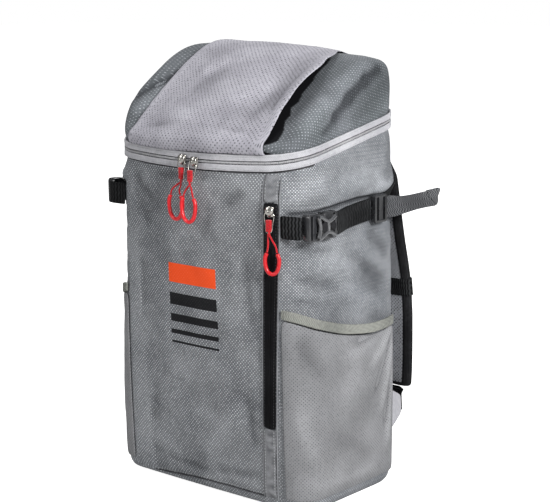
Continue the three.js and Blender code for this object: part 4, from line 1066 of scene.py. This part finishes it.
tape_finish = ribbed_finish("grey_woven_tape", TAPE_DARK, TAPE_LIGHT, TAPE_RIB, TAPE_STRIPE, 1.0, contrast=0.35)
for name, node in (("lower_tape", "zip_tape_lower"), ("upper_tape", "zip_tape_upper")):
    work = quads_of(node)
    cut_long(work, 5 * MM, 3, upright=True)
    cut_long(work, 12 * MM, 2, upright=False)
    tape = lay_cloth(move_cloth(rounded(made(name, work, tape_finish), 2), tape_height), band_cloth)
    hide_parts(node)
    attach(tape, "root")

coil_finish = ribbed_finish("grey_zip_coil", COIL_DARK, COIL_LIGHT, TOOTH_STEP, 1.3 * MM, 0.0, roughness=0.45)
work = quads_of("zip_coil")
cut_long(work, 12 * MM, 2, upright=False)
coil_core = lay_cloth(rounded(made("coil_core", work, coil_finish), 1), band_cloth)
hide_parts("zip_coil")
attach(coil_core, "root")
tooth_frames = [(place, Vector((0, 0, 1)), out_way) for place, _, out_way in along_wall(
    band_wall, lambda way: (way, BAND_HEIGHT / 2, 0.0), -BAND_REACH, BAND_REACH, TOOTH_STEP)]
teeth = stitches("coil_teeth", [tooth_frames], coil_finish, TOOTH_LENGTH, TOOTH_THICK)
stitches("band_stitches", [
    along_wall(band_wall, lambda way, h=height: (way, h, 0.0), -BAND_REACH, BAND_REACH)
    for height in BAND_STITCHES])

# Front-corner zip: a black coated tape with its coil turned inwards, so only the line where the two halves
# meet shows, between a grey strip below it and a grey tab above it.
ZIP_DARK = (0.004, 0.004, 0.0045, 1)
ZIP_LIGHT = (0.009, 0.009, 0.0105, 1)
STRIP_DARK = (0.15, 0.155, 0.165, 1)
STRIP_LIGHT = (0.26, 0.265, 0.275, 1)
STRIP_STITCH_IN = 1.8 * MM
ZIP_STITCH_IN = 2.0 * MM


def strip_height(place, normal):
    """The coated tape swells over its coil, with a groove where its two halves meet."""
    way, z = tub_wall.way_of(place)
    across = way - seam_at(z) - STRIP_WIDTH / 2
    lift = 0.55 * MM * math.exp(-((abs(across) - 1.5 * MM) / (1.1 * MM)) ** 2)
    return lift - 0.25 * MM * math.exp(-(across / (0.6 * MM)) ** 2)


def pucker_height(place, normal):
    """The grey strips pucker between their seams."""
    way, z = tub_wall.way_of(place)
    across = (way - seam_at(z) - STRIP_WIDTH / 2) / (STRIP_WIDTH / 2)
    return 1.0 * MM * ripple((way * 0.5, z), 6 * MM, 9.1) * (1 - across * across) - 0.1 * MM


zip_finish = ribbed_finish(
    "black_zip_tape", ZIP_DARK, ZIP_LIGHT, 1.5 * MM, 1.0 * MM, 0.0, roughness=0.6, contrast=0.4)
# The strips' puckers get painted shade and light from their kept fold height.
strip_finish = ribbed_finish("grey_strip", STRIP_DARK, STRIP_LIGHT, 1.8 * MM, 2 * MM, 1.0, painted_fold_gain=3.0)
for name, node, finish, shape, slot in (
        ("corner_zip_tape", "corner_zip", zip_finish, strip_height, "black_zip"),
        ("corner_strip", "strip_lower", strip_finish, pucker_height, "grey_tape"),
        ("corner_tab_upper", "tab_upper", strip_finish, pucker_height, "grey_tape")):
    work = quads_of(node)
    cut_long(work, 16 * MM, 3, upright=True)
    strip = lay_cloth(move_cloth(rounded(made(name, work, finish), 2), shape), tub_wall.way_of)
    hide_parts(node)
    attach(strip, "root")
rows = []
for low, high in ((18, 92), (345, 366)):
    for offset in (STRIP_STITCH_IN, STRIP_WIDTH - STRIP_STITCH_IN):
        rows.append(along_wall(
            tub_wall, lambda z, o=offset: (seam_at(z) + o, z, 2.1 * MM), low * MM, high * MM))
stitches("strip_stitches", rows)
stitches("zip_stitches", [
    along_wall(tub_wall, lambda z, o=offset: (seam_at(z) + o, z, 2.0 * MM), 96 * MM, 340 * MM)
    for offset in (ZIP_STITCH_IN, STRIP_WIDTH - ZIP_STITCH_IN)], dark_thread_and_shadow_finish)

# Zip pulls: a nickel slider whose bridge carries a bent wire, a braided red cord looped over the wire, and
# a moulded red grip on the cord's two ends.
WIRE_LENGTH = 22 * MM
WIRE_DIAMETER = 1.3 * MM
CORD_DIAMETER = 2 * MM
GRIP_DIAMETER = 4.8 * MM
GRIP_WIDTH = 21 * MM
CORD_GAP = 0.5 * MM
KNOT_TURNS = 7
KNOT_STEP = 1.75
KNOT_RADIUS = 1.5 * MM
KNOT_THREAD = 0.95 * MM
NICKEL_DARK = (0.3, 0.29, 0.27, 1)
NICKEL_LIGHT = (0.62, 0.6, 0.56, 1)
CORD_DARK = (0.26, 0.004, 0.008, 1)
CORD_LIGHT = (0.6, 0.01, 0.018, 1)
GRIP_DARK = (0.46, 0.006, 0.011, 1)
GRIP_LIGHT = (0.66, 0.012, 0.018, 1)
PULLS = [
    {"name": "lid_left", "base": (-4.0, -114.981, 381.03), "away": (0, -1, 0), "drop": 68, "slant": -9,
     "out": 5.5, "width": 1.2 * GRIP_WIDTH},
    {"name": "lid_right", "base": (13.5, -114.789, 379.628), "away": (0, -1, 0), "drop": 67, "slant": -3,
     "out": 10.5, "width": 1.2 * GRIP_WIDTH},
    {"name": "corner", "base": (107.03, -101.733, 333.072), "away": (0.3137, -0.9495, 0), "drop": 68,
     "slant": 3.5, "out": 6.5, "width": GRIP_WIDTH},
]
nickel_finish = Finish("nickel_plate", roughness=0.24, metallic=1.0, gloss=0.5)
nickel_finish.colour(nickel_finish.cloudy(NICKEL_DARK, NICKEL_LIGHT))
nickel_finish.grain(700, 0.15, 0.15 * MM)
cord_finish = Finish("red_braid", roughness=0.55, sheen=0.3)
cord_place = cord_finish.object_place()
braid = cord_finish.add("ShaderNodeTexWave", wave_type="BANDS", bands_direction="DIAGONAL")
cord_finish.feed(braid.inputs["Vector"], cord_place)
braid.inputs["Scale"].default_value = 420
braid.inputs["Distortion"].default_value = 2
cord_finish.colour(cord_finish.blend(braid.outputs["Fac"], CORD_DARK, CORD_LIGHT))
cord_finish.bump(braid.outputs["Fac"], 0.5, 0.3 * MM)
grip_finish = Finish("red_moulded_grip", roughness=0.34, coat=0.2, gloss=0.4)
grip_finish.colour(grip_finish.cloudy(GRIP_DARK, GRIP_LIGHT))
grip_finish.grain(500, 0.2, 0.2 * MM)
PLATE_SIZE = (9 * MM, 11.5 * MM, 3 * MM, 1)
PLATE_TAPER = 0.72
PLATE_MIDDLE = 1.6 * MM
DOME_PLACE = (0, 1.6 * MM, 4.9 * MM)
DOME_SIZE = (4.9 * MM, 5.1 * MM, 2.4 * MM, 1)
BRIDGE_FOOT = (0, 4.4 * MM, 2.6 * MM)
BRIDGE_SECTION = (1.7 * MM, 0.75 * MM, 1, 1)


def slider_mesh(matrix):
    """A slider in its seat: a shield-shaped plate, narrower at its lower end, a dome, and a bridge."""
    work = bmesh.new()
    body = bmesh.ops.create_cube(work, size=1.0, matrix=Matrix.Diagonal(PLATE_SIZE))
    for vertex in body["verts"]:
        if vertex.co.y < 0:
            vertex.co.x *= PLATE_TAPER
        vertex.co.z += PLATE_MIDDLE
    bmesh.ops.bevel(
        work, geom=work.edges[:], offset=1.3 * MM, segments=4, profile=0.5, affect="EDGES", material=-1)
    dome = bmesh.ops.create_uvsphere(work, u_segments=24, v_segments=14, radius=1.0)
    bmesh.ops.transform(
        work, verts=dome["verts"], matrix=Matrix.Translation(DOME_PLACE) @ Matrix.Diagonal(DOME_SIZE))
    ring = bmesh.ops.create_circle(
        work, cap_ends=True, segments=10, radius=1.0,
        matrix=Matrix.Translation(BRIDGE_FOOT) @ Matrix.Diagonal(BRIDGE_SECTION))
    bmesh.ops.spin(
        work, geom=ring["verts"] + list({f for v in ring["verts"] for f in v.link_faces}),
        cent=(0, 0, BRIDGE_FOOT[2]), axis=(1, 0, 0), angle=math.pi, steps=14, use_merge=False)
    bmesh.ops.recalc_face_normals(work, faces=work.faces)
    work.transform(matrix)
    return work


for pull in PULLS:
    base = Vector(pull["base"]) * MM
    away = Vector(pull["away"]).normalized()
    along = Vector((-away.y, away.x, 0))
    out_by = pull["out"] * MM

    def hung(side, out_way, height):
        point = base + along * side + away * out_way
        return Vector((point.x, point.y, base.z + height))

    name = pull["name"]
    seat = facing_matrix(base + away * CORD_GAP, along, Vector((0, 0, 1)), away)
    slider = made("slider_piece_" + name, slider_mesh(seat), nickel_finish)
    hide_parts("slider_" + name)
    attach(slider, "root")
    wire = rounded(made("wire_piece_" + name, quads_of("wire_" + name), nickel_finish), 2)
    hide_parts("wire_" + name)
    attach(wire, "root")
    grip = rounded(made("grip_piece_" + name, quads_of("grip_" + name), grip_finish), 2)
    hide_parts("grip_" + name)
    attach(grip, "root")

    drop = pull["drop"] * MM
    middle = pull["slant"] * MM
    grip_top = -drop + pull["width"] * 0.95
    half = pull["width"] / 2 - GRIP_DIAMETER / 2
    loop_low = -WIRE_LENGTH + WIRE_DIAMETER / 2 + CORD_DIAMETER / 2 + CORD_GAP
    over_bar = (WIRE_DIAMETER + CORD_DIAMETER) / 2 + 0.7 * MM
    cord_end = grip_top + 5 * MM + CORD_GAP + 0.4 * MM
    sides = []
    for side in (-1, 1):
        sides.append([
            hung(middle + side * half * 0.7, out_by, cord_end),
            hung(middle + side * half * 0.56, out_by, lerp(cord_end, loop_low, 0.25)),
            hung(lerp(middle, 0, 0.6) + side * half * 0.3, out_by + side * 0.4 * MM, lerp(cord_end, loop_low, 0.6)),
            hung(side * 1.6 * MM, out_by + side * over_bar, loop_low - 2.8 * MM),
            hung(side * 1.2 * MM, out_by + side * over_bar, loop_low - 0.9 * MM),
        ])
    route = sides[0] + [hung(0, out_by, loop_low + 0.3 * MM)] + sides[1][::-1]
    knot = bmesh.new()
    for turn in range(KNOT_TURNS):
        for side in (-1, 1):
            centre = hung(side * 1.15 * MM, out_by, loop_low + (0.6 + KNOT_STEP * turn) * MM)
            ring_place = facing_matrix(centre, along, away, Vector((0, 0, 1)))
            thread = bmesh.ops.create_circle(
                knot, cap_ends=False, segments=8, radius=KNOT_THREAD,
                matrix=ring_place @ Matrix.Translation((KNOT_RADIUS, 0, 0)) @ Matrix.Rotation(math.pi / 2, 4, "X"))
            bmesh.ops.spin(
                knot, geom=thread["verts"] + list({e for v in thread["verts"] for e in v.link_edges}),
                cent=centre, axis=(0, 0, 1), angle=2 * math.pi, steps=14, use_merge=True)
    bmesh.ops.recalc_face_normals(knot, faces=knot.faces)
    knot_piece = made("knot_piece_" + name, knot, cord_finish)
    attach(knot_piece, "root")
    cord = thin_tube("cord_piece_" + name, route, CORD_DIAMETER, cord_finish)
    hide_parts("cord_" + name)

# Side pockets: a stretch mesh panel sewn in at the front zip, the back corner and the bottom, with a ribbed
# elastic binding on its upper edge. It is pulled tight towards the top of the back corner.
POCKET_DARK = (0.18, 0.182, 0.188, 1)
POCKET_LIGHT = (0.225, 0.227, 0.235, 1)
POCKET_HOLE = (0.05, 0.051, 0.054, 1)
POCKET_PITCH = 3.9 * MM
HEM_DARK = (0.17, 0.175, 0.16, 1)
HEM_LIGHT = (0.26, 0.265, 0.24, 1)
HEM_RIB = 2.6 * MM
LEFT_SHARE = 0.6
POCKET_FOLDS = [
    [(286, 190), (238, 150), 6, 2.6],
    [(288, 176), (258, 96), 6, 2.6],
    [(289, 160), (272, 50), 6, 2.2],
    [(284, 184), (246, 118), 4, -2.4],
    [(289, 168), (266, 74), 4, -2.4],
    [(280, 194), (206, 180), 6, -2.0],
    [(270, 188), (190, 168), 7, 1.0],
    [(126, 200), (160, 150), 9, -1.0],
    [(124, 120), (150, 60), 9, 1.0],
    [(150, 30), (250, 26), 8, 1.1],
    [(170, 90), (240, 44), 12, -1.0],
]
pocket_finish = weave_finish(
    "perforated_pocket_mesh", POCKET_DARK, POCKET_LIGHT, POCKET_HOLE, POCKET_PITCH, 0.3, 0.8, lift=-1.4)
hem_finish = ribbed_finish("ribbed_elastic", HEM_DARK, HEM_LIGHT, 2.1 * MM, 6 * MM, 0.5, contrast=0.45)


def pocket_height(place, normal):
    """The panel's folds, on its outer side. The left pocket is flatter."""
    way, z = tub_wall.way_of(place)
    side = 1 if way > 0 else -1
    spot = (abs(way), z)
    share = (spot[0] - POCKET_FRONT) / (POCKET_BACK - POCKET_FRONT)
    edge = smoothstep(share, 0.02, 0.12) * (1 - smoothstep(share, 0.93, 0.99))
    edge *= smoothstep(z, 18 * MM, 34 * MM)
    height = 0.8 * MM * ripple(spot, 26 * MM, 7.7) + fold_sum(spot, POCKET_FOLDS)
    return (height if normal.dot(place) > 0 else 0.0) * edge * (1 if side > 0 else LEFT_SHARE)


def hem_height(place, normal):
    way, z = tub_wall.way_of(place)
    return 0.3 * MM * math.sin(2 * math.pi * way / HEM_RIB) + 0.3 * MM * ripple((way, z), 14 * MM, 3.3)


for name in ("right", "left"):
    work = quads_of("pocket_" + name)
    cut_long(work, 16 * MM, 1, upright=True)
    pocket = lay_cloth(move_cloth(rounded(made("pocket_panel_" + name, work, pocket_finish), 2), pocket_height),
                       tub_wall.way_of)
    work = quads_of("pocket_hem_" + name)
    cut_long(work, 5 * MM, 3, upright=True)
    hem = lay_cloth(move_cloth(rounded(made("pocket_binding_" + name, work, hem_finish), 3), hem_height),
                    tub_wall.way_of)
    for piece, node, slot in ((pocket, "pocket_", "pocket_mesh"), (hem, "pocket_hem_", "hem_elastic")):
        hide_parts(node + name)
        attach(piece, "root")

# Compression straps: ribbed black webbing, sewn into the front corner seam, with a side-release buckle, a
# ladder lock and a free tail. Buckle and lock are moulded acetal.
WEB_DARK = (0.012, 0.0124, 0.0132, 1)
WEB_LIGHT = (0.038, 0.0393, 0.0412, 1)
TAIL_DARK = (0.09, 0.092, 0.097, 1)
TAIL_LIGHT = (0.17, 0.174, 0.182, 1)
web_finish = ribbed_finish(
    "black_webbing", WEB_DARK, WEB_LIGHT, 2.9 * MM, 3.2 * MM, 0.25, roughness=0.6, contrast=1.0, valley_tone=0.1)
# The free tails are coloured lighter than the rest of the webbing.
tail_finish = ribbed_finish(
    "lighter_tail_webbing", TAIL_DARK, TAIL_LIGHT, 3.2 * MM, 3.4 * MM, 0.9, contrast=1.0, valley_tone=0.2)


def web_piece(name, node, finish, cloth, levels=2):
    """A node that is a length of webbing or tape, with its corners softened."""
    work = quads_of(node)
    cut_long(work, 10 * MM, 3)
    web = rounded(made(name, work, finish), levels)
    lay_cloth(web, cloth)
    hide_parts(node)
    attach(web, "root")
    return web


TAIL_FOLD = 15 * MM
TAIL_START = 322 * MM
TAIL_CLIMB = 14 * MM
TAIL_DROP = 9 * MM
TAIL_NARROWING = 0.24
TAIL_TWIST = 0.4


def tail_cloth(place):
    return place.y, place.z


def hang_tail(tail):
    """Lets the free tail hang and turn a little towards its end, which is cut at a slant."""
    ends = [v.co.y for v in tail.data.vertices]
    low, high = min(ends), max(ends)
    for vertex in tail.data.vertices:
        share = (vertex.co.y - low) / (high - low)
        middle = TAIL_START + LEFT_RAISE * (vertex.co.x < 0) + TAIL_CLIMB * share
        across = vertex.co.z - middle
        narrower = 1 - TAIL_NARROWING * smoothstep(share, 0.05, 0.5)
        vertex.co.z = middle - TAIL_DROP * share ** 1.3 + across * narrower
        vertex.co.x += math.copysign(across * TAIL_TWIST, vertex.co.x) * smoothstep(share, 0.1, 0.7)
        bow = 5 * MM * (1 - min(abs(across) / (11 * MM), 1) ** 2)
        vertex.co.y += (across - 6 * MM + bow) * smoothstep(share, 0.78, 1.0)
    tail.data.update()


def binding(name, piece, at_edge, lift, finish, cloth):
    """A bound edge: the covered part of a piece's skin, raised and given its own thickness."""
    work = bmesh.new()
    work.from_mesh(piece.data)
    bmesh.ops.delete(
        work, geom=[f for f in work.faces if not at_edge(f.calc_center_median())], context="FACES")
    edged = made(name, work, finish)
    move_cloth(edged, lambda place, normal: lift)
    wall = edged.modifiers.new("cloth", "SOLIDIFY")
    wall.thickness = lift * 1.2
    wall.offset = -1
    settle(edged)
    lay_cloth(edged, cloth)
    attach(edged, "root")
    return edged


PLASTIC_DARK = (0.014, 0.0145, 0.016, 1)
PLASTIC_LIGHT = (0.03, 0.031, 0.034, 1)
plastic_finish = Finish("black_acetal", roughness=0.22, coat=0.3, gloss=0.5)
plastic_finish.colour(plastic_finish.cloudy(PLASTIC_DARK, PLASTIC_LIGHT))
plastic_finish.grain(900, 0.2, 0.1 * MM)


def moulded(name, node, edge):
    """A hard node with its edges rounded off as a mould leaves them."""
    work = quads_of(node)
    bmesh.ops.dissolve_limit(work, angle_limit=math.radians(2), verts=work.verts, edges=work.edges)
    piece = made(name, work, plastic_finish)
    rim = piece.modifiers.new("edges", "BEVEL")
    rim.width = edge
    rim.segments = 3
    rim.limit_method = "ANGLE"
    rim.angle_limit = math.radians(35)
    rim.harden_normals = True
    settle(piece)
    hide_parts(node)
    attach(piece, "root")
    return piece


BUCKLE_THICK = 9.4 * MM
BUCKLES = {
    "right": {"place": (144.0773, -65.4471, 317), "ahead": (0.0435, 0.9991, 0), "away": (0.9991, -0.0435, 0)},
    "left": {"place": (-148.6176, -66.089, 332), "ahead": (-0.0509, 0.9987, 0), "away": (-0.9987, -0.0509, 0)},
}
# Painted shade on the buckle's outer face: flat near-black lumps where its hollows lie in shadow. Way
# ahead, half length and half height in millimetres.
BUCKLE_SHADE_SPOTS = [(-3.8, 4.8, 5.6), (10.5, 4.4, 4.8)]
SHADE_SPOT_DEPTH = 0.9 * MM
RIB_DARK = (0.008, 0.0082, 0.009, 1)
RIB_PAINTED_HIGHLIGHT = (0.075, 0.077, 0.082, 1)
RIB_DIAMETER = 4.2 * MM
# Ribs on the buckle's outer face: way ahead, height and lift in millimetres.
BUCKLE_RIBS = [
    [(-12, 11.4, -1.2), (-8, 10.8, -0.8), (-2, 7.4, -0.4), (3, 5.6, -0.3), (9, 7.4, -0.5), (14, 10.2, -1.1)],
    [(-12, -11.4, -1.2), (-8, -10.8, -0.8), (-2, -7.4, -0.4), (3, -5.6, -0.3), (9, -7.4, -0.5), (14, -10.2, -1.1)],
    [(-12, 10.5, -0.9), (-10.5, 5, -0.6), (-10, 0, -0.5), (-10.5, -5, -0.6), (-12, -10.5, -0.9)],
    [(2.6, 5, -0.8), (3, 0, -0.6), (2.6, -5, -0.8)],
]
# The ribs' colour runs by noise from black up to painted highlight streaks on the glossy acetal.
rib_highlight_finish = Finish("acetal_with_painted_highlights", roughness=0.16, coat=0.8, gloss=0.8)
rib_highlight_finish.colour(rib_highlight_finish.cloudy(RIB_DARK, RIB_PAINTED_HIGHLIGHT))
rib_highlight_finish.grain(500, 0.3, 0.2 * MM)

for name in ("right", "left"):
    web_piece("front_web_" + name, "strap_front_" + name, web_finish, tub_wall.way_of)
    web_piece("rear_web_" + name, "strap_rear_" + name, web_finish, tub_wall.way_of)
    web_piece("anchor_web_" + name, "strap_anchor_" + name, web_finish, tub_wall.way_of)
    tail = web_piece("tail_web_" + name, "strap_tail_" + name, tail_finish, tail_cloth)
    hang_tail(tail)
    tail_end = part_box("strap_tail_" + name)[1].y
    binding("tail_end_" + name, tail, lambda p: p.y > tail_end - TAIL_FOLD, 0.9 * MM, tail_finish, tail_cloth)
    moulded("socket_" + name, "buckle_socket_" + name, 0.8 * MM)
    moulded("prong_" + name, "buckle_prong_" + name, 0.7 * MM)
    buckle = BUCKLES[name]
    seat = Vector(buckle["place"]) * MM
    ahead, out_way = Vector(buckle["ahead"]).normalized(), Vector(buckle["away"]).normalized()
    for rib, outline in enumerate(BUCKLE_RIBS):
        points = [
            seat + ahead * a * MM + out_way * (BUCKLE_THICK + lift * MM) + Vector((0, 0, b * MM))
            for a, b, lift in outline]
        thin_tube("buckle_rib_%s_%d" % (name, rib), points, RIB_DIAMETER, rib_highlight_finish)
    work = bmesh.new()
    for ahead_by, half_long, half_high in BUCKLE_SHADE_SPOTS:
        middle = seat + ahead * ahead_by * MM + out_way * BUCKLE_THICK
        spot_frame = facing_matrix(middle, ahead, out_way.cross(ahead), out_way)
        bmesh.ops.create_uvsphere(
            work, u_segments=20, v_segments=10, radius=1.0,
            matrix=spot_frame @ Matrix.Diagonal((half_long * MM, half_high * MM, SHADE_SPOT_DEPTH, 1)))
    bmesh.ops.recalc_face_normals(work, faces=work.faces)
    shade_spots = made("buckle_painted_shade_" + name, work, near_black_and_shade_finish)
    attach(shade_spots, "root")
    moulded("lock_" + name, "ladder_lock_" + name, 0.8 * MM)

# Back panel and shoulder straps: foam covered with open air mesh, with a black binding sewn round the edge.
# Grooves are sewn into the panel. A web crosses each strap, and its lower end runs to a grey corner tab.
MESH_DARK = (0.21, 0.215, 0.23, 1)
MESH_LIGHT = (0.3, 0.31, 0.33, 1)
MESH_HOLE = (0.02, 0.02, 0.023, 1)
BINDING_DARK = (0.012, 0.012, 0.013, 1)
BINDING_LIGHT = (0.03, 0.03, 0.032, 1)
SHOULDER_OUTER = 118 * MM
SHOULDER_WIDTH = 62 * MM
SHOULDER_END = 98 * MM
SHOULDER_CROWN = 1.2 * MM
BINDING_WIDTH = 9 * MM
MESH_PITCH = 4.2 * MM
UPRIGHT_GROOVES = (-34 * MM, 34 * MM)
LEVEL_GROOVES = (100 * MM, 176 * MM, 252 * MM)
GROOVE_WIDTH = 4 * MM
UPRIGHT_DEPTH = 3.0 * MM
LEVEL_DEPTH = 2.4 * MM
mesh_finish = weave_finish("air_mesh", MESH_DARK, MESH_LIGHT, MESH_HOLE, MESH_PITCH, 0.0, 0.55, lift=-2.0)
binding_finish = ribbed_finish("black_binding", BINDING_DARK, BINDING_LIGHT, 1.8 * MM, 1.5 * MM, 0.3)


def upright_cloth(place):
    return place.x, place.z


def pad_height(place, normal):
    """The panel's face is uneven, with its sewn grooves."""
    if normal.y < 0.3:
        return 0.0
    height = 0.5 * MM * ripple((place.x, place.z), 30 * MM, 1.8)
    for groove in UPRIGHT_GROOVES:
        height -= UPRIGHT_DEPTH * math.exp(-((place.x - groove) / GROOVE_WIDTH) ** 2)
    for groove in LEVEL_GROOVES:
        height -= LEVEL_DEPTH * math.exp(-((place.z - groove) / GROOVE_WIDTH) ** 2)
    return height


pad_low, pad_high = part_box("back_pad")
work = quads_of("back_pad")
cut_long(work, 16 * MM, 3)
pad = rounded(made("back_panel", work, mesh_finish), 2)
binding("back_panel_binding", pad, lambda p: min(
    p.x - pad_low.x, pad_high.x - p.x, p.z - pad_low.z, pad_high.z - p.z) < BINDING_WIDTH,
    0.7 * MM, binding_finish, upright_cloth)
lay_cloth(move_cloth(pad, pad_height), upright_cloth)
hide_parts("back_pad")
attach(pad, "root")


def shoulder_height(place, normal):
    """The strap's foam is crowned between its bindings."""
    across = (abs(place.x) - SHOULDER_OUTER + SHOULDER_WIDTH / 2) / (SHOULDER_WIDTH / 2 - BINDING_WIDTH)
    inside = max(1 - across * across, 0) * smoothstep(place.z, SHOULDER_END, SHOULDER_END + 14 * MM)
    return inside * (SHOULDER_CROWN + 0.5 * MM * ripple((place.x, place.z), 24 * MM, 6.6))


for name in ("right", "left"):
    work = quads_of("shoulder_strap_" + name)
    cut_long(work, 15 * MM, 2)
    strap = rounded(made("shoulder_pad_" + name, work, mesh_finish), 2)
    binding("shoulder_binding_" + name, strap, lambda p: (
        abs(p.x) > SHOULDER_OUTER - BINDING_WIDTH or abs(p.x) < SHOULDER_OUTER - SHOULDER_WIDTH + BINDING_WIDTH
        or p.z < SHOULDER_END), 0.6 * MM, binding_finish, upright_cloth)
    lay_cloth(move_cloth(strap, shoulder_height), upright_cloth)
    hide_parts("shoulder_strap_" + name)
    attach(strap, "root")
    web_piece("cross_web_" + name, "strap_band_" + name, web_finish, upright_cloth, levels=1)
    web_piece("lower_web_piece_" + name, "lower_web_" + name, web_finish, lambda p: (p.z, p.x), levels=2)
    web_piece("corner_tab_piece_" + name, "corner_tab_" + name, tape_finish, lambda p: (p.z, p.x))
